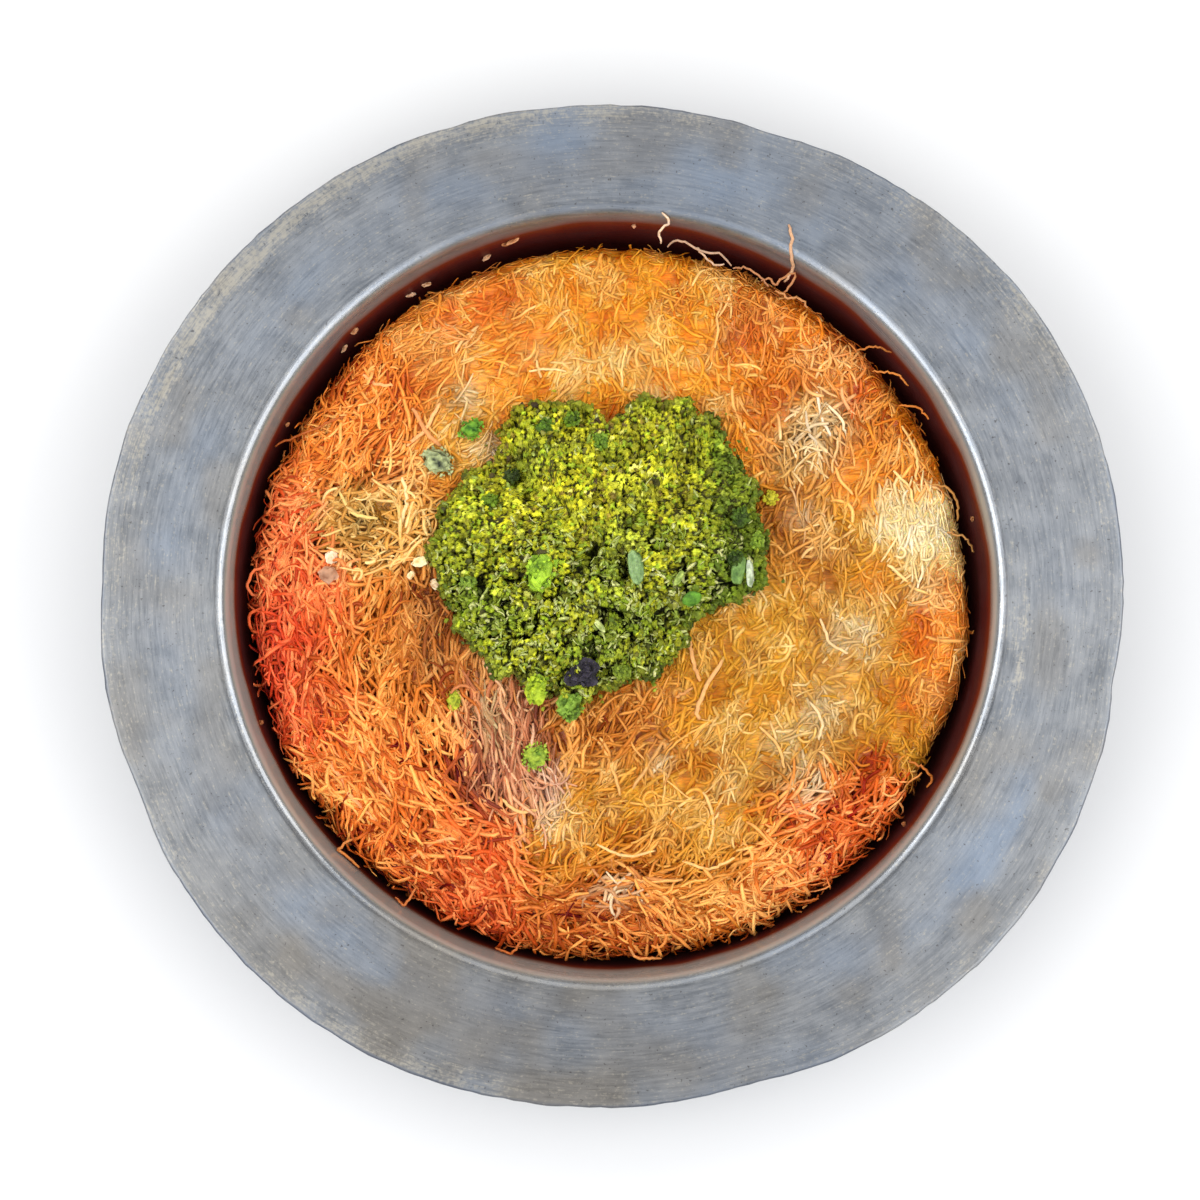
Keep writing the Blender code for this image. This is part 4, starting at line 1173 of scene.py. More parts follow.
# Places that bulge out of the heap's outline or fall back from it: direction, how far, spread in degrees
HEAP_BULGES = ((-12.0, 2.4, 8.0), (-27.0, -1.2, 6.0), (87.0, -3.0, 5.0), (71.0, 1.0, 6.0), (122.0, 0.8, 8.0),
               (141.0, -0.8, 8.0), (-106.0, -3.0, 4.0), (-122.0, -2.0, 5.0), (-90.0, -2.4, 5.0))
# Cracks between clumps: how far apart, how deep and how wide; and the clumps' sizes and heights
CRACKS = ((5.2, 2.0, 0.2), (2.8, 1.4, 0.2))
CLUMPS = ((4.2, 0.9), (1.9, 0.6))
# Clumps that stand out of the outline: how far, patch size and seed, taken round a circle of this radius
OUTLINE_CLUMPS = ((1.2, 3.6, 54), (1.0, 1.6, 56))
OUTLINE_CIRCLE = 28.0


def ragged_reach(angle):
    """The heap's outline with the clumps that stand out of it."""
    reach = heap_reach(angle) + layered_drift(polar(OUTLINE_CIRCLE, angle), OUTLINE_CLUMPS)
    return with_marks(reach, np.degrees(angle), HEAP_BULGES)


def heap_core(x, y):
    """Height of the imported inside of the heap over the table, for places on the plan."""
    across = x - HEAP_CENTRE[0]
    along = y - HEAP_CENTRE[1]
    share = np.hypot(across, along) / ragged_reach(np.arctan2(along, across))
    crown = HEAP_EDGE_HEIGHT + (HEAP_HEIGHT - HEAP_EDGE_HEIGHT) * (1.0 - np.minimum(share, 1.0) ** 2)
    points = np.stack([x, y, HEAP_BASE + crown], axis=-1).reshape(-1, 3)
    lumps = unevenness(points, HEAP_RELIEF).reshape(x.shape)
    hollows = sum(depth * np.exp(-((x - spot_x) ** 2 + (y - spot_y) ** 2) / size ** 2)
                  for spot_x, spot_y, size, depth in HEAP_HOLLOWS)
    front = smoothstep(8.0, -8.0, along)
    for size, depth, width in CRACKS:
        crack = smoothstep(width, 0.0, np.abs(drift(x, y, size, 57)))
        hollows = hollows + depth * (0.3 + 0.7 * front) * crack
    for size, depth in CLUMPS:
        hollows = hollows - depth * drift(x, y, size, 58)
    body = smoothstep(1.02, 0.975, share)
    return HEAP_BASE + body * np.maximum(crown - 0.7 + 1.2 * lumps - hollows, 0.2)


def grain_cell(places):
    """The raster's row and column for places in and round the heap."""
    index = np.clip(((places - HEAP_CENTRE + HEAP_HALF) / GRAIN_CELL).astype(int), 0, GRAIN_CELLS - 1)
    return index[..., 1], index[..., 0]


def stamp(draw, raster, places, size):
    """Stamp rough round crumbs into the raster and return each crumb's cells and its heights in them."""
    reach = int(math.ceil(size.max() / 2.0 / GRAIN_CELL)) + 1
    steps = np.arange(-reach, reach + 1) * GRAIN_CELL
    step_x, step_y = np.meshgrid(steps, steps)
    spots = places[:, None, None, :2] + np.stack([step_x, step_y], axis=-1)
    cells = grain_cell(spots)
    away = np.hypot(step_x, step_y)
    angle = np.arctan2(step_y, step_x)
    lobes = 1.0
    for count in (2, 3, 5):
        phase = draw.uniform(0.0, math.tau, (len(places), 1, 1))
        swing = draw.uniform(0.0, 0.35 / math.sqrt(count), (len(places), 1, 1))
        lobes = lobes + swing * np.sin(count * angle + phase)
    radius = size[:, None, None] / 2.0 * lobes
    dome = np.sqrt(np.maximum(radius ** 2 - away ** 2, 0.0))
    tilt = draw.normal(0.0, 0.25, (len(places), 2, 1, 1))
    top = places[:, None, None, 2] + 0.85 * dome + tilt[:, 0] * step_x + tilt[:, 1] * step_y
    top = np.where(away < radius, top, -1.0)
    np.maximum.at(raster, cells, top)
    return cells, top


def heap_places(draw, count, bounds):
    """Places over the heap, evenly spread between two shares of its outline."""
    angle = draw.uniform(0.0, math.tau, count)
    reach = np.sqrt(draw.uniform(bounds[0] ** 2, bounds[1] ** 2, count)) * ragged_reach(angle)
    return HEAP_CENTRE + polar(reach, angle)


def crumb_tints(draw, places):
    """A colour for each crumb: yellow at the back, greener in front and in patches."""
    x, y = places[:, :2].T
    colours = np.array([linear(colour) for colour, _ in CRUMB_COLOURS])
    odds = np.array([share for _, share in CRUMB_COLOURS], float)
    picked = colours[draw.choice(len(colours), size=len(places), p=odds / odds.sum())]
    green = smoothstep(0.0, 0.7, drift(x, y, 5.0, 51))
    front = smoothstep(10.0, -14.0, y - HEAP_CENTRE[1])
    right = smoothstep(12.0, 26.0, x - HEAP_CENTRE[0])
    left = smoothstep(-14.0, -26.0, x - HEAP_CENTRE[0])
    tint = np.clip(0.4 * green + 0.35 * front + 0.75 * right + 0.25 * left, 0.0, 0.85)[:, None]
    picked = picked * (1.0 - tint) + linear(GREEN_NUT) * tint
    bright = 0.45 * smoothstep(0.3, 0.9, drift(x, y, 2.0, 55))[:, None]
    picked = picked * (1.0 - bright) + linear(BRIGHT_NUT) * bright
    clump = 1.0 + 0.4 * drift(x, y, 2.4, 59)[:, None]
    return picked * clump * draw.uniform(0.82, 1.2, (len(places), 1))


def stamped_heap(draw):
    """The heap's raster: heights, colours of the crumbs on top with painted shade in gaps and pits and on the
    right side, and how open each cell is to light.
    """
    middles = (np.arange(GRAIN_CELLS) + 0.5) * GRAIN_CELL - HEAP_HALF
    x, y = np.meshgrid(middles + HEAP_CENTRE[0], middles + HEAP_CENTRE[1])
    core = heap_core(x, y)
    raster = core.copy()
    colour = np.tile(linear(SHADED_GAP_NUT), (GRAIN_CELLS, GRAIN_CELLS, 1))
    stamped = []
    for count, smallest, largest in STAMPED_CRUMBS:
        spots = heap_places(draw, count, (0.0, 0.99))
        size = between((smallest, largest), draw.uniform(0.0, 1.0, count) ** 1.6)
        height = core[grain_cell(spots)] + size * draw.uniform(-0.5, 0.6, count)
        places = raised(spots, height)
        stamped.append((*stamp(draw, raster, places, size), crumb_tints(draw, places)))
    for cells, top, tints in stamped:
        shown = top >= raster[cells] - 1e-9
        tint = np.broadcast_to(tints[:, None, None], top.shape + (3,))
        colour[cells[0][shown], cells[1][shown]] = tint[shown]
    # Painted shade in gaps and pits, deeper in front; painted shade on the right side and painted light on
    # the left
    front = smoothstep(8.0, -10.0, y - HEAP_CENTRE[1])
    gaps = smoothstep(-0.45, 0.3, raster - blurred(raster, 3))
    pits = smoothstep(-1.6, 0.4, raster - blurred(raster, 12))
    lit = between((0.45 + 0.55 * gaps, gaps), front) * between((between((0.6, 1.0), pits), pits), front)
    across = x - HEAP_CENTRE[0]
    lit = lit * (1.0 - 0.2 * smoothstep(10.0, 26.0, across) + 0.14 * smoothstep(0.0, -20.0, across))
    return raster, colour * (GAP_LIGHT + OPEN_LIGHT * lit[..., None]), pits


HEAP_STEPS = 250
# Where the heap's foot ends, under the pastry's top
HEAP_FOOT = PASTRY_TOP - 0.3


def make_heap_mass(raster, colour, material):
    """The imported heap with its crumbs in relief, down to where it meets the pastry."""
    disc = square_to_disc(HEAP_STEPS)
    share = np.hypot(disc[..., 0], disc[..., 1])
    angle = np.arctan2(disc[..., 1], disc[..., 0])
    plan = HEAP_CENTRE + polar(ragged_reach(angle) * share, angle)
    cells = grain_cell(plan)
    points = raised(plan, np.where(share > 0.999, HEAP_FOOT, raster[cells])).reshape(1, -1, 3)
    make_piece("pistachio_mass", points, sheet_faces(HEAP_STEPS), colour[cells], material,
               "ground_pistachio", "pistachio_heap", smooth=False)


def icosahedron(splits):
    """Corners and faces of a round lump of radius 1, from twenty faces that are split."""
    golden = (1.0 + math.sqrt(5.0)) / 2.0
    corners = [np.array(corner) / math.hypot(1.0, golden) for a in (-1.0, 1.0) for b in (-golden, golden)
               for corner in ((0.0, a, b), (a, b, 0.0), (b, 0.0, a))]
    faces = []
    for first in range(12):
        for second in range(first + 1, 12):
            for third in range(second + 1, 12):
                a, b, c = corners[first], corners[second], corners[third]
                if max(np.linalg.norm(a - b), np.linalg.norm(b - c), np.linalg.norm(c - a)) < 1.2:
                    outward = np.cross(b - a, c - a) @ a > 0.0
                    faces.append((first, second, third) if outward else (first, third, second))
    for _ in range(splits):
        middles = {}
        finer = []
        for face in faces:
            halves = []
            for one, other in zip(face, face[1:] + face[:1]):
                key = (min(one, other), max(one, other))
                if key not in middles:
                    middle = corners[one] + corners[other]
                    middles[key] = len(corners)
                    corners.append(middle / np.linalg.norm(middle))
                halves.append(middles[key])
            finer += [(face[0], halves[0], halves[2]), (face[1], halves[1], halves[0]),
                      (face[2], halves[2], halves[1]), tuple(halves)]
        faces = finer
    return np.array(corners), np.array(faces)


def random_turns(draw, count):
    """Rotation matrices that turn things every way."""
    w, x, y, z = draw.normal(size=(4, count))
    size = np.sqrt(w * w + x * x + y * y + z * z)
    w, x, y, z = w / size, x / size, y / size, z / size
    return np.stack([
        np.stack([1 - 2 * (y * y + z * z), 2 * (x * y - w * z), 2 * (x * z + w * y)], axis=-1),
        np.stack([2 * (x * y + w * z), 1 - 2 * (x * x + z * z), 2 * (y * z - w * x)], axis=-1),
        np.stack([2 * (x * z - w * y), 2 * (y * z + w * x), 1 - 2 * (x * x + y * y)], axis=-1)], axis=1)


CRUMB_CORNERS, CRUMB_FACES = icosahedron(0)
CHUNK_CORNERS, CHUNK_FACES = icosahedron(2)
# Loose crumbs by kind: how many, sizes, shares of the heap's outline between which they lie, seed
LOOSE_CRUMBS = {
    "pistachio_pieces": (240, (1.0, 1.9), (0.0, 1.0), 61),
    "pistachio_crumbs": (900, (0.6, 1.2), (0.0, 1.0), 62),
    "pistachio_dust": (1100, (0.38, 0.7), (0.0, 1.0), 63),
    "edge_crumbs": (420, (0.6, 1.6), (0.955, 1.025), 64),
}
# How many of them have rolled outward
STRAY_CRUMBS = 0.04


def crumb_shapes(draw, places, size):
    """Broken crumbs at places: uneven, longer one way, turned every way."""
    count = len(places)
    corners = CRUMB_CORNERS * draw.uniform(0.5, 1.35, (count, len(CRUMB_CORNERS), 1))
    width = draw.uniform(0.55, 0.95, count)
    thickness = draw.uniform(0.4, 0.85, count)
    stretch = np.stack([np.ones(count), width, thickness], axis=-1)
    corners = corners * (stretch * size[:, None] / 2.0)[:, None]
    return places[:, None] + np.einsum("nij,nkj->nki", random_turns(draw, count), corners)


def corner_tints(draw, places, darkest, lightest):
    """A colour for each corner of each crumb, uneven over the crumb."""
    colours = np.repeat(crumb_tints(draw, places)[:, None], len(CRUMB_CORNERS), axis=1)
    return colours * draw.uniform(darkest, lightest, (len(places), len(CRUMB_CORNERS), 1))


def make_loose_crumbs(raster, openness, material):
    """Crumbs that lie loose on the heap, from the largest to the finest, a few of them beside it."""
    for name, (count, sizes, reach, seed) in LOOSE_CRUMBS.items():
        draw = np.random.default_rng(seed)
        spots = heap_places(draw, 3 * count, reach)
        spots = spots[draw.uniform(0.0, 1.0, len(spots)) < 0.4 + 0.6 * openness[grain_cell(spots)]][:count]
        size = between(sizes, draw.uniform(0.0, 1.0, count) ** 1.5)
        strayed = draw.uniform(0.0, 1.0, (count, 1)) < STRAY_CRUMBS
        outward = (spots - HEAP_CENTRE) * draw.uniform(1.0, 1.12, (count, 1)) + HEAP_CENTRE
        spots = np.where(strayed, outward, spots)
        cells = grain_cell(spots)
        height = np.maximum(raster[cells], PASTRY_TOP) + 0.15 * size
        np.maximum.at(raster, cells, height + 0.2 * size)
        places = raised(spots, height)
        # Painted shade on loose crumbs that lie in pits
        colours = corner_tints(draw, places, 0.7, 1.15) * (0.4 + 0.6 * openness[cells])[:, None, None]
        make_piece(name, crumb_shapes(draw, places, size), [CRUMB_FACES], colours, material,
                   "ground_pistachio", smooth=False)


SIDE_CRUMBS = 850


def make_side_crumbs(raster, material):
    """Crumbs down the heap's steep side, from its brow to the pastry, with painted shade towards the foot."""
    draw = np.random.default_rng(65)
    angle = draw.uniform(0.0, math.tau, SIDE_CRUMBS)
    out = polar(ragged_reach(angle), angle)
    fall = draw.uniform(0.0, 1.0, SIDE_CRUMBS)
    brow = np.maximum(raster[grain_cell(HEAP_CENTRE + 0.95 * out)], PASTRY_TOP)
    height = brow + (PASTRY_TOP + 0.2 - brow) * fall
    places = raised(HEAP_CENTRE + (0.97 + 0.04 * fall)[:, None] * out, height)
    # Painted shade: crumbs further down the side are darker
    colours = corner_tints(draw, places, 0.6, 1.1) * (1.0 - 0.4 * fall)[:, None, None]
    shapes = crumb_shapes(draw, places, draw.uniform(0.8, 1.7, SIDE_CRUMBS))
    make_piece("side_crumbs", shapes, [CRUMB_FACES], colours, material, "ground_pistachio", smooth=False)


# Nut pieces that stand out: place, height of the middle, length, width and thickness, turn, two colours for
# painted light on knobs and painted shade in cuts
NUT_CHUNKS = (
    (-12.3, 4.0, 21.2, 8.0, 5.8, 3.6, 70, "#a8cc30", "#3c6410"),
    (-13.2, -17.0, 18.4, 6.2, 4.4, 3.2, 80, "#b8cc2c", "#6f8c1c"),
    (-7.2, -20.2, 18.0, 5.6, 4.8, 3.2, 60, "#8aac3a", "#34500e"),
    (-5.0, -14.4, 19.2, 6.8, 5.4, 3.6, 20, "#3c3642", "#050306"),
    (-11.5, 29.6, 18.6, 3.4, 3.0, 2.4, 10, "#5c7e18", "#26380a"),
    (-6.9, 31.0, 18.4, 3.0, 2.6, 2.2, 50, "#6c8a1a", "#2c400c"),
    (-1.9, 27.0, 19.6, 3.4, 3.0, 2.2, 120, "#7c9a28", "#3f5c16"),
    (-17.6, 20.8, 18.8, 3.2, 2.6, 2.2, 30, "#36460e", "#181f06"),
    (-21.4, 16.4, 18.4, 3.0, 2.6, 2.2, 0, "#6e8a1a", "#30460c"),
    (23.0, 13.4, 19.6, 4.0, 3.4, 2.8, 100, "#506a1a", "#26340a"),
    (26.0, 9.4, 18.6, 3.4, 2.6, 2.4, 80, "#8aa42c", "#4f6818"),
    (22.0, 6.0, 19.2, 3.2, 2.8, 2.2, 40, "#425a12", "#1e2a08"),
    (-25.4, 2.0, 18.0, 3.2, 2.8, 2.2, 15, "#8ea63c", "#56701e"),
    (2.0, -14.0, 19.0, 3.4, 3.0, 2.4, 140, "#84962a", "#44560f"),
)
# Thin slivers of nut: place and height of the middle, length, width, thickness, turn, tilt, two colours for
# painted light on knobs and painted shade in cuts
NUT_SLIVERS = (
    (4.4, 4.3, 22.8, 6.0, 3.0, 1.0, 98, 18, "#90ac70", "#50703a"),
    (14.2, -1.2, 21.4, 3.4, 2.8, 0.9, 20, 25, "#5f9226", "#386014"),
    (24.6, 3.4, 18.9, 5.0, 1.7, 0.9, 92, 35, "#c8d0b4", "#8a9a74"),
    (22.6, 4.2, 19.2, 5.4, 3.0, 1.2, 80, 30, "#7c9c50", "#4c6c30"),
    (12.0, 2.5, 21.6, 3.0, 1.3, 0.6, 60, 20, "#a8b85c", "#6f8434"),
    (-2.0, -6.0, 21.2, 2.8, 1.2, 0.6, 130, 25, "#c6cc84", "#8a9a4c"),
)
# Crumbs that have fallen on the pastry: place, length and width, height, turn, two colours, painted light on
# the lump's knobs and painted shade in its cuts
FALLEN_CRUMBS = (
    (-25.0, 29.7, 4.4, 3.4, 2.2, 20, "#78a82c", "#34641a"),
    (-31.0, 24.0, 6.4, 4.6, 2.4, -25, "#b4bc84", "#141c16"),
    (-27.8, -18.9, 2.8, 4.2, 2.2, 10, "#c6c830", "#7c8a20"),
    (-13.3, -29.0, 5.0, 4.6, 2.2, 40, "#a4b838", "#4c701e"),
    (28.6, 17.3, 2.4, 2.2, 1.6, 0, "#cfc42c", "#8c8418"),
)


def turned_about(points, tilt, turn):
    """Points tilted about X and then turned about Z, by angles in degrees."""
    tilt, turn = math.radians(tilt), math.radians(turn)
    lean = np.array([[1, 0, 0], [0, math.cos(tilt), -math.sin(tilt)], [0, math.sin(tilt), math.cos(tilt)]])
    spin = np.array([[math.cos(turn), -math.sin(turn), 0], [math.sin(turn), math.cos(turn), 0], [0, 0, 1]])
    return points @ (spin @ lean).T


def rough_lump(draw, size, rough):
    """A broken lump: a round one with knobs and cuts, stretched to a length, a width and a thickness."""
    shift = Vector(draw.uniform(-50.0, 50.0, 3))
    corners = [Vector(corner) for corner in CHUNK_CORNERS]
    knobs = np.array([noise.noise(corner * 1.3 + shift) + 0.6 * noise.noise(corner * 3.4 - shift)
                      for corner in corners])
    return CHUNK_CORNERS * (1.0 + rough * knobs[:, None]) * np.array(size) / 2.0, knobs


def lit_knobs_shaded_cuts(draw, knobs, light, dark):
    """Colours for a lump's corners: a painted highlight on its knobs and painted shade in its cuts."""
    share = np.clip(0.55 + 0.9 * knobs + draw.normal(0.0, 0.15, len(knobs)), 0.0, 1.0)[:, None]
    return linear(light) * share + linear(dark) * (1.0 - share)


def grains_on(draw, count, size, spread):
    """Places of grains over the top of a lump, and how far out from its middle each lies."""
    length, width, height = size
    angle = draw.uniform(0.0, math.tau, count)
    share = np.sqrt(draw.uniform(0.0, spread, count))
    rise = height * 0.5 * np.sqrt(np.maximum(1.0 - share ** 2, 0.05))
    return raised(polar(share, angle) * (length / 2.0, width / 2.0), rise), share


def grain_tints(draw, share, light, dark):
    """Colours for the corners of grains, from dark at 0 to light at 1."""
    tint = np.clip(share[:, None, None] + draw.normal(0.0, 0.2, (len(share), 1, 1)), 0.0, 1.0)
    tint = tint * np.ones((1, len(CRUMB_CORNERS), 1))
    return linear(light) * tint + linear(dark) * (1.0 - tint)


def make_lumps(name, shapes, colours, material, slot, smooth=False):
    """Lumps as one mesh."""
    make_piece(name, np.array(shapes), [CHUNK_FACES], np.array(colours), material, slot, smooth=smooth)


def make_grains(name, shapes, colours, material):
    """Grains of nut from all the lumps of a kind, as one mesh."""
    make_piece(name, np.concatenate(shapes), [CRUMB_FACES], np.concatenate(colours), material,
               "ground_pistachio", smooth=False)


GRAINS_PER_CHUNK = 34
GRAINS_PER_FALLEN = 70


def make_nut_pieces(material):
    """The chunks and slivers of nut that stand out in the heap."""
    draw = np.random.default_rng(71)
    chunks = []
    chunk_colours = []
    grains = []
    grain_colours = []
    for x, y, height, *size, turn, light, dark in NUT_CHUNKS:
        lump, knobs = rough_lump(draw, np.array(size) * 0.85, 0.5)
        chunks.append(turned_about(lump, draw.uniform(-20.0, 20.0), turn) + (x, y, height))
        chunk_colours.append(lit_knobs_shaded_cuts(draw, knobs, light, dark))
        spots = turned_about(grains_on(draw, GRAINS_PER_CHUNK, size, 0.9)[0], 0.0, turn) + (x, y, height)
        grains.append(crumb_shapes(draw, spots, draw.uniform(0.5, 1.2, GRAINS_PER_CHUNK)))
        grain_colours.append(grain_tints(draw, draw.uniform(0.2, 1.0, GRAINS_PER_CHUNK), light, dark))
    slivers = []
    sliver_colours = []
    for x, y, height, *size, turn, tilt, light, dark in NUT_SLIVERS:
        lump, knobs = rough_lump(draw, size, 0.15)
        slivers.append(turned_about(lump, tilt, turn) + (x, y, height))
        sliver_colours.append(lit_knobs_shaded_cuts(draw, knobs, light, dark))
    make_lumps("nut_chunks", chunks, chunk_colours, material, "ground_pistachio")
    make_lumps("nut_slivers", slivers, sliver_colours, material, "ground_pistachio", smooth=True)
    make_grains("chunk_grains", grains, grain_colours, material)


def make_fallen_crumbs(material):
    """Crumbs that have fallen on the pastry beside the heap, each a lump with finer grains on it."""
    draw = np.random.default_rng(72)
    lumps = []
    lump_colours = []
    grains = []
    grain_colours = []
    for x, y, length, width, height, turn, light, dark in FALLEN_CRUMBS:
        base = on_skin(np.array([x, y]), 0.3)[0][2]
        lump, knobs = rough_lump(draw, (length * 0.75, width * 0.75, height), 0.45)
        lumps.append(turned_about(lump, 0.0, turn) + (x, y, base + 0.2 * height))
        lump_colours.append(lit_knobs_shaded_cuts(draw, knobs, light, dark))
        spots, share = grains_on(draw, GRAINS_PER_FALLEN, (length, width, height), 1.2)
        spots = turned_about(spots, 0.0, turn) + (x, y, base)
        grains.append(crumb_shapes(draw, spots, draw.uniform(0.4, 0.95, GRAINS_PER_FALLEN)))
        grain_colours.append(grain_tints(draw, 0.95 * share ** 2, light, dark))
    make_lumps("fallen_lumps", lumps, lump_colours, material, "ground_pistachio")
    make_grains("fallen_grains", grains, grain_colours, material)


SHAVINGS = 900
SHAVING_RINGS = 5
SHAVING_SIDES = 3


def make_shavings(raster, material):
    """Thin curled shavings of nut that catch the light, most of them in the front half of the heap."""
    draw = np.random.default_rng(73)
    spots = heap_places(draw, 4 * SHAVINGS, (0.0, 0.98))
    front = smoothstep(10.0, -8.0, spots[:, 1] - HEAP_CENTRE[1])
    spots = spots[draw.uniform(0.0, 1.0, len(spots)) < 0.1 + 0.9 * front][:SHAVINGS]
    count = len(spots)
    plan = wandering_paths(draw, spots, draw.uniform(0.0, math.tau, count), draw.uniform(0.9, 2.2, count),
                           draw.normal(0.0, 1.4, count), SHAVING_RINGS)
    slope = draw.normal(0.0, 0.35, (count, 1)) * np.linspace(-1.0, 1.0, SHAVING_RINGS)
    paths = raised(plan, raster[grain_cell(spots)][:, None] + 0.1 + slope)
    outward = np.broadcast_to(draw.normal(0.0, 0.5, (count, 1, 3)) + (0.0, 0.0, 1.0), paths.shape)
    half_width = draw.uniform(0.18, 0.42, count)
    tubes = shred_tubes(paths, outward, half_width, np.full(count, 0.35), SHAVING_SIDES)
    light = draw.uniform(0.0, 1.0, (count, 1, 1)) ** 1.3 * np.ones((1, tubes.shape[1], 1))
    colours = linear("#dcdc90") * light + linear("#94a838") * (1.0 - light)
    make_piece("nut_shavings", tubes, tube_faces(SHAVING_RINGS, SHAVING_SIDES), colours, material,
               "ground_pistachio")


# Pale flakes of pastry that lie on the shreds: place, length, width and thickness, turn, two colours for
# painted light on knobs and painted shade in cuts
PALE_FLAKES = (
    (-34.0, 5.8, 3.0, 1.8, 0.8, 15, "#fcf2c0", "#e0b878"),
    (-35.6, 3.4, 1.6, 1.2, 0.6, 60, "#f4dcae", "#c89858"),
    (-49.8, 6.6, 2.2, 2.6, 0.8, 20, "#f4dcb8", "#d0a078"),
    (-50.4, 3.6, 3.0, 3.4, 0.6, 80, "#c09070", "#8c5c40"),
    (-31.4, 1.8, 2.0, 1.4, 0.6, 130, "#e4cca4", "#a87848"),
)
FLAKE_REST = 1.1


def make_flakes(material):
    """Pale flakes of pastry on the shreds."""
    draw = np.random.default_rng(75)
    flakes = []
    colours = []
    for x, y, length, width, height, turn, light, dark in PALE_FLAKES:
        lump, knobs = rough_lump(draw, (length, width, height), 0.35)
        base = on_skin(np.array([x, y]), FLAKE_REST)[0][2]
        flakes.append(turned_about(lump, draw.uniform(-15.0, 15.0), turn) + (x, y, base))
        colours.append(lit_knobs_shaded_cuts(draw, knobs, light, dark))
    make_lumps("pale_flakes", flakes, colours, material, "baked_pastry")


# Crumbs of pastry that stick to the tray's wall: direction in degrees, height, length and two colours for
# painted light on knobs and painted shade in cuts
WALL_CRUMBS = (
    (105.4, 13.0, 2.2, "#d89c6c", "#8c5430"), (106.6, 12.4, 1.2, "#b87848", "#7c4424"),
    (110.0, 9.4, 1.8, "#e0b48c", "#a06c48"), (86.4, 14.2, 0.8, "#e0a880", "#a06c48"),
    (120.4, 9.8, 2.0, "#dcb48c", "#986440"), (123.4, 9.4, 1.6, "#e4bc98", "#a87450"),
    (134.0, 12.6, 1.6, "#d09c70", "#8c5430"), (137.0, 10.2, 1.4, "#dcb48c", "#a06c48"),
    (152.0, 11.0, 0.9, "#c08050", "#8c5430"), (200.0, 12.6, 0.9, "#b07040", "#7c4020"),
    (322.0, 12.0, 0.8, "#b07040", "#7c4020"), (12.0, 12.4, 0.8, "#b88050", "#7c4820"),
)


def make_wall_crumbs(material):
    """Small crumbs of pastry stuck to the inside of the tray's wall."""
    draw = np.random.default_rng(76)
    crumbs = []
    colours = []
    for azimuth, height, length, light, dark in WALL_CRUMBS:
        reach = float(wall_reach(np.array(height))) - 0.25
        place = (reach * math.cos(math.radians(azimuth)), reach * math.sin(math.radians(azimuth)), height)
        lump, knobs = rough_lump(draw, (length, 0.7, 0.6), 0.5)
        crumbs.append(turned_about(lump, 0.0, azimuth + 90.0 + draw.uniform(-20.0, 20.0)) + place)
        colours.append(lit_knobs_shaded_cuts(draw, knobs, light, dark))
    make_lumps("wall_crumbs", crumbs, colours, material, "baked_pastry")


def make_pistachio():
    """The heap, its loose crumbs and pieces, and the crumbs that have fallen beside it."""
    nut = ground_nut()
    raster, colour, openness = stamped_heap(np.random.default_rng(60))
    make_heap_mass(raster, colour, nut)
    make_loose_crumbs(raster, openness, nut)
    make_side_crumbs(raster, nut)
    make_shavings(raster, nut)
    make_nut_pieces(nut)
    make_fallen_crumbs(nut)


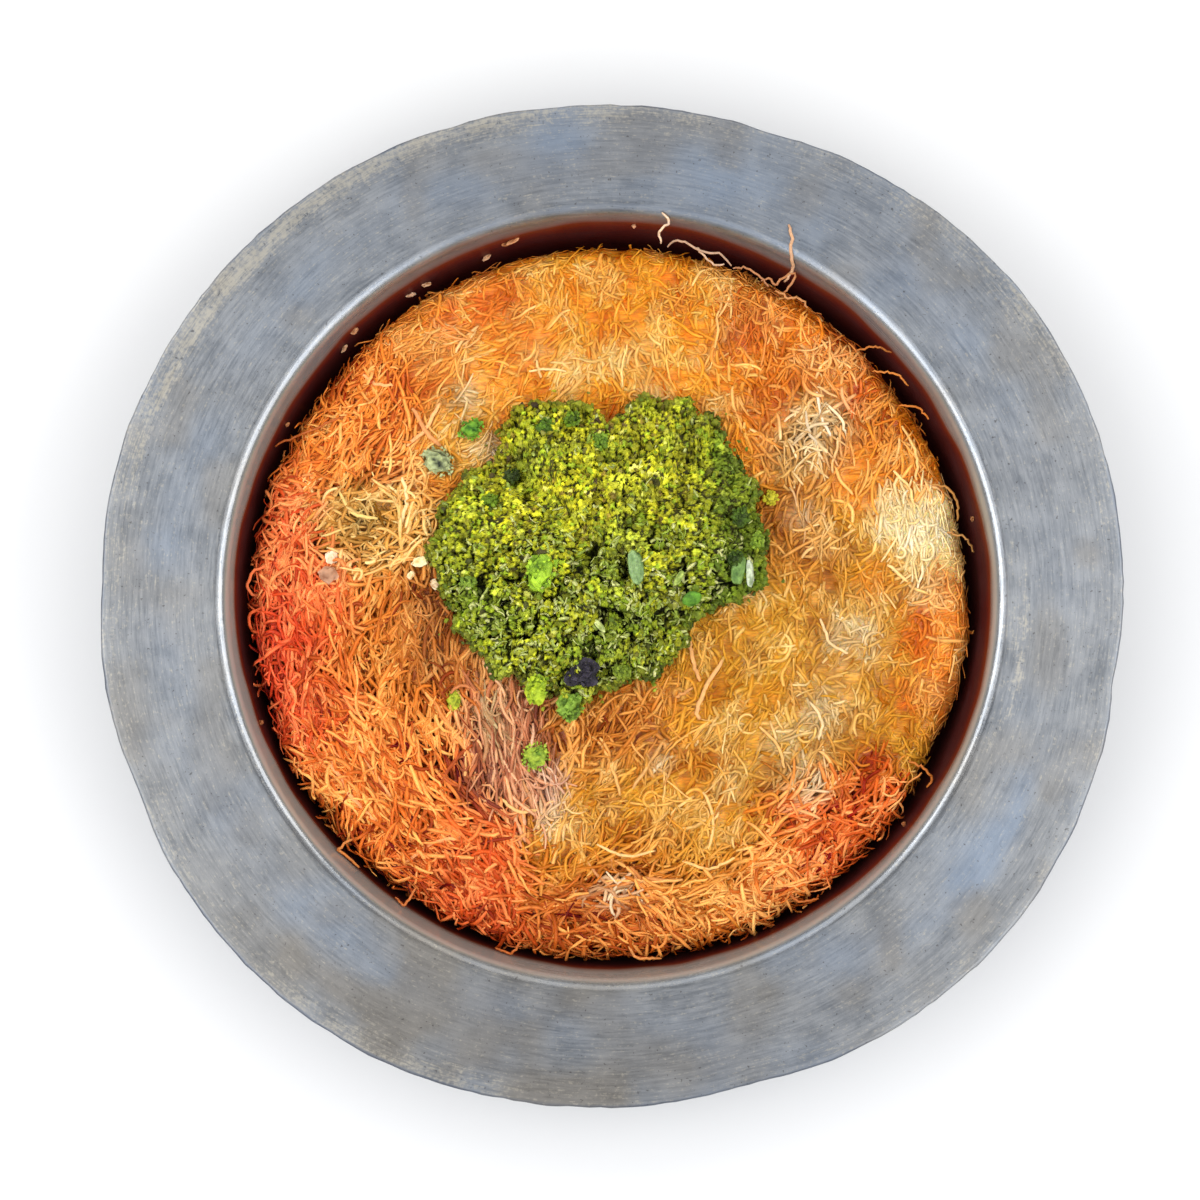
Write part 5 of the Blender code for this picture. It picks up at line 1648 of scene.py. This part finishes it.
# Stray shreds that leave the pastry: corners of their path in millimetres, width, colour
STRAY_SHREDS = (
    (((9.1, 67.9, 19.8), (10.3, 66.3, 18.6), (8.7, 65.0, 17.4), (9.0, 63.2, 15.4)), 0.7, "#e0c0a0"),
    (((10.2, 62.8, 14.2), (11.6, 63.8, 15.6), (13.6, 63.4, 16.2), (15.4, 62.0, 16.0), (17.8, 61.3, 15.8),
      (19.8, 61.4, 15.4), (21.7, 59.3, 14.6)), 0.65, "#b89478"),
    (((15.0, 62.5, 16.0), (15.9, 61.8, 15.8), (17.2, 60.4, 15.2), (18.8, 59.5, 14.8), (20.4, 59.6, 14.9)),
     0.6, "#c8a484"),
    (((31.6, 65.6, 20.6), (32.2, 63.4, 20.4), (32.8, 60.9, 19.0), (32.5, 58.3, 16.6), (31.2, 56.4, 14.8)),
     0.95, "#c89c78"),
    (((27.0, 56.6, 14.6), (28.6, 57.0, 15.0), (29.4, 55.6, 15.0), (30.6, 56.8, 15.4), (33.0, 57.8, 15.8),
      (32.2, 55.6, 15.2), (31.0, 54.4, 14.6)), 0.7, "#b4784c"),
    (((22.0, 58.8, 14.8), (24.4, 58.8, 15.0), (26.6, 57.4, 15.0), (28.4, 55.6, 14.6)), 0.6, "#b07850"),
    (((29.6, 54.8, 14.8), (31.8, 53.4, 15.0), (33.8, 53.6, 14.6), (35.4, 51.8, 14.2)), 0.7, "#c08450"),
    (((44.0, 44.0, 14.2), (47.6, 44.6, 15.2), (50.4, 43.6, 14.6)), 0.6, "#b0682c"),
    (((47.0, 40.2, 14.0), (50.8, 39.8, 15.0), (53.4, 37.6, 14.4)), 0.6, "#c87a34"),
    (((51.6, 34.0, 14.0), (54.8, 33.6, 14.8), (57.0, 31.6, 14.0)), 0.6, "#c8742c"),
    (((57.0, 20.0, 13.4), (60.4, 19.2, 13.6), (62.6, 16.4, 12.0), (62.4, 13.6, 10.6)), 0.7, "#b88040"),
    (((60.0, 11.4, 12.4), (63.6, 10.4, 12.2), (65.4, 8.0, 10.6)), 0.6, "#c08a4c"),
    (((-45.0, 33.0, 14.0), (-49.6, 31.4, 14.8), (-53.4, 29.6, 14.4), (-57.0, 28.6, 12.6),
      (-60.6, 27.0, 12.0)), 0.7, "#b05a24"),
    (((-60.0, 6.0, 12.6), (-63.4, 4.6, 13.2), (-65.2, 2.0, 12.6), (-63.6, 0.0, 11.6), (-61.0, 1.6, 12.6)),
     0.9, "#f07a44"),
    (((-61.0, -2.0, 12.4), (-64.6, -3.4, 12.6), (-64.2, -6.4, 11.6), (-61.6, -6.0, 12.6)), 0.9, "#e0602c"),
    (((-45.0, -43.0, 13.4), (-48.4, -45.2, 13.6), (-49.0, -48.6, 12.0), (-46.4, -50.2, 11.6)),
     0.8, "#e08a44"),
    (((-34.6, -52.0, 13.6), (-37.0, -55.4, 13.2), (-39.8, -55.8, 11.8)), 0.7, "#d0763a"),
    (((-15.0, -60.4, 13.4), (-17.8, -63.8, 12.6), (-21.0, -64.0, 11.4)), 0.7, "#c86c30"),
    (((2.0, -61.0, 13.4), (5.0, -64.4, 12.6), (9.0, -64.6, 11.6)), 0.8, "#d88c48"),
    (((30.0, -51.6, 13.4), (33.6, -54.6, 13.0), (37.0, -54.0, 11.8)), 0.7, "#c06a2c"),
    (((53.0, -29.6, 13.4), (56.8, -31.8, 12.8), (57.6, -35.0, 11.4)), 0.7, "#c87430"),
)
STRAY_RINGS = 16


def make_strays(material):
    """Shreds that stick out over the gap and the tray, each bent its own way."""
    draw = np.random.default_rng(81)
    paths = np.array([smooth_path(corners, STRAY_RINGS) for corners, _, _ in STRAY_SHREDS])
    paths[:, 1:-1] += draw.normal(0.0, 0.12, paths[:, 1:-1].shape)
    reach = np.hypot(paths[..., 0], paths[..., 1])
    low = paths[..., 2] < SHOULDER_CENTRE[1] + SHOULDER_RADIUS
    most = np.where(low, wall_reach(paths[..., 2]) - 0.4, 1e9)
    paths[..., :2] *= np.minimum(1.0, most / reach)[..., None]
    outward = np.broadcast_to(np.array([0.0, 0.0, 1.0]), paths.shape)
    half_width = np.array([width for _, width, _ in STRAY_SHREDS]) * 0.35
    make_single_shreds("stray_shreds", STRAY_SHREDS, paths, outward, half_width, 0.8, material)


# Studio

CAMERA_TARGET = (-1.94, -1.32, 20.0)
CAMERA_DISTANCE = 500.0
CAMERA_TILT = 4.0
CAMERA_LENS = 85.0
CAMERA_SENSOR = 36.0
CAMERA_CLIP = 10.0
# Softboxes: place, size, power in watts and colour
SOFTBOXES = {
    "left softbox": ((-450.0, -40.0, 380.0), (1100.0, 240.0), 2.7, "#ffffff"),
    "right softbox": ((450.0, -40.0, 380.0), (1100.0, 300.0), 2.8, "#ffffff"),
    "upper left softbox": ((-330.0, -110.0, 600.0), (600.0, 350.0), 0.92, "#ffffff"),
    "upper right softbox": ((330.0, -80.0, 600.0), (600.0, 350.0), 0.74, "#ffffff"),
    "back softbox": ((-40.0, 440.0, 470.0), (800.0, 380.0), 1.22, "#ffffff"),
    "front softbox": ((0.0, -460.0, 460.0), (800.0, 380.0), 0.8, "#e6eefc"),
}
SURROUNDINGS = "#fbfcff"
SURROUNDINGS_LIGHT = 0.52
FLOOR_HALF = 4000.0


def make_camera():
    """The camera over the tray, a little in front of it, looking down."""
    data = bpy.data.cameras.new("camera")
    data.lens = CAMERA_LENS
    data.sensor_width = CAMERA_SENSOR
    data.clip_start = CAMERA_CLIP * MM
    camera = bpy.data.objects.new("camera", data)
    tilt = math.radians(CAMERA_TILT)
    back = Vector((0.0, -math.sin(tilt), math.cos(tilt)))
    camera.location = (Vector(CAMERA_TARGET) + back * CAMERA_DISTANCE) * MM
    camera.rotation_euler = (tilt, 0.0, 0.0)
    bpy.context.scene.collection.objects.link(camera)
    bpy.context.scene.camera = camera


def add_softbox(name, place, size, watts, colour):
    """A soft rectangular light that faces the tray."""
    data = bpy.data.lights.new(name, "AREA")
    data.shape = "RECTANGLE"
    data.size, data.size_y = (side * MM for side in size)
    data.energy = watts
    data.color = linear(colour)
    light = bpy.data.objects.new(name, data)
    light.location = Vector(place) * MM
    light.rotation_euler = light.location.to_track_quat("Z", "Y").to_euler()
    bpy.context.scene.collection.objects.link(light)


def pale_paper():
    """Matt off-white paper under the tray."""
    material, tree, shader = new_material("pale paper")
    set_inputs(tree, shader, {"Base Color": rgba("#dadada"), "Roughness": 0.9, "Specular IOR Level": 0.2})
    return material


def make_floor():
    """A sheet of paper that reaches past every view's edge."""
    half = FLOOR_HALF * MM
    corners = [(-half, -half, 0.0), (half, -half, 0.0), (half, half, 0.0), (-half, half, 0.0)]
    mesh = bpy.data.meshes.new("floor")
    mesh.from_pydata(corners, [], [(0, 1, 2, 3)])
    mesh.materials.append(pale_paper())
    floor = bpy.data.objects.new("floor", mesh)
    bpy.context.scene.collection.objects.link(floor)


def make_studio():
    """Soft light from all four sides and from above, the strongest from left and right."""
    scene = bpy.context.scene
    scene.view_settings.view_transform = "Standard"
    scene.world = bpy.data.worlds.new("studio")
    scene.world.use_nodes = True
    background = scene.world.node_tree.nodes["Background"]
    background.inputs["Color"].default_value = rgba(SURROUNDINGS)
    background.inputs["Strength"].default_value = SURROUNDINGS_LIGHT
    for name, (place, size, watts, colour) in SOFTBOXES.items():
        add_softbox(name, place, size, watts, colour)


def main():
    """Dress the tray, the pastry and the pistachio, and set up the studio."""
    make_studio()
    make_floor()
    make_camera()
    make_tray()
    make_pastry()
    make_pistachio()
    stray_dough = toasted_dough("dry stray dough", 0.45, 0.15, 0.5, False)
    make_strays(stray_dough)
    make_flakes(stray_dough)
    make_wall_crumbs(stray_dough)


main()
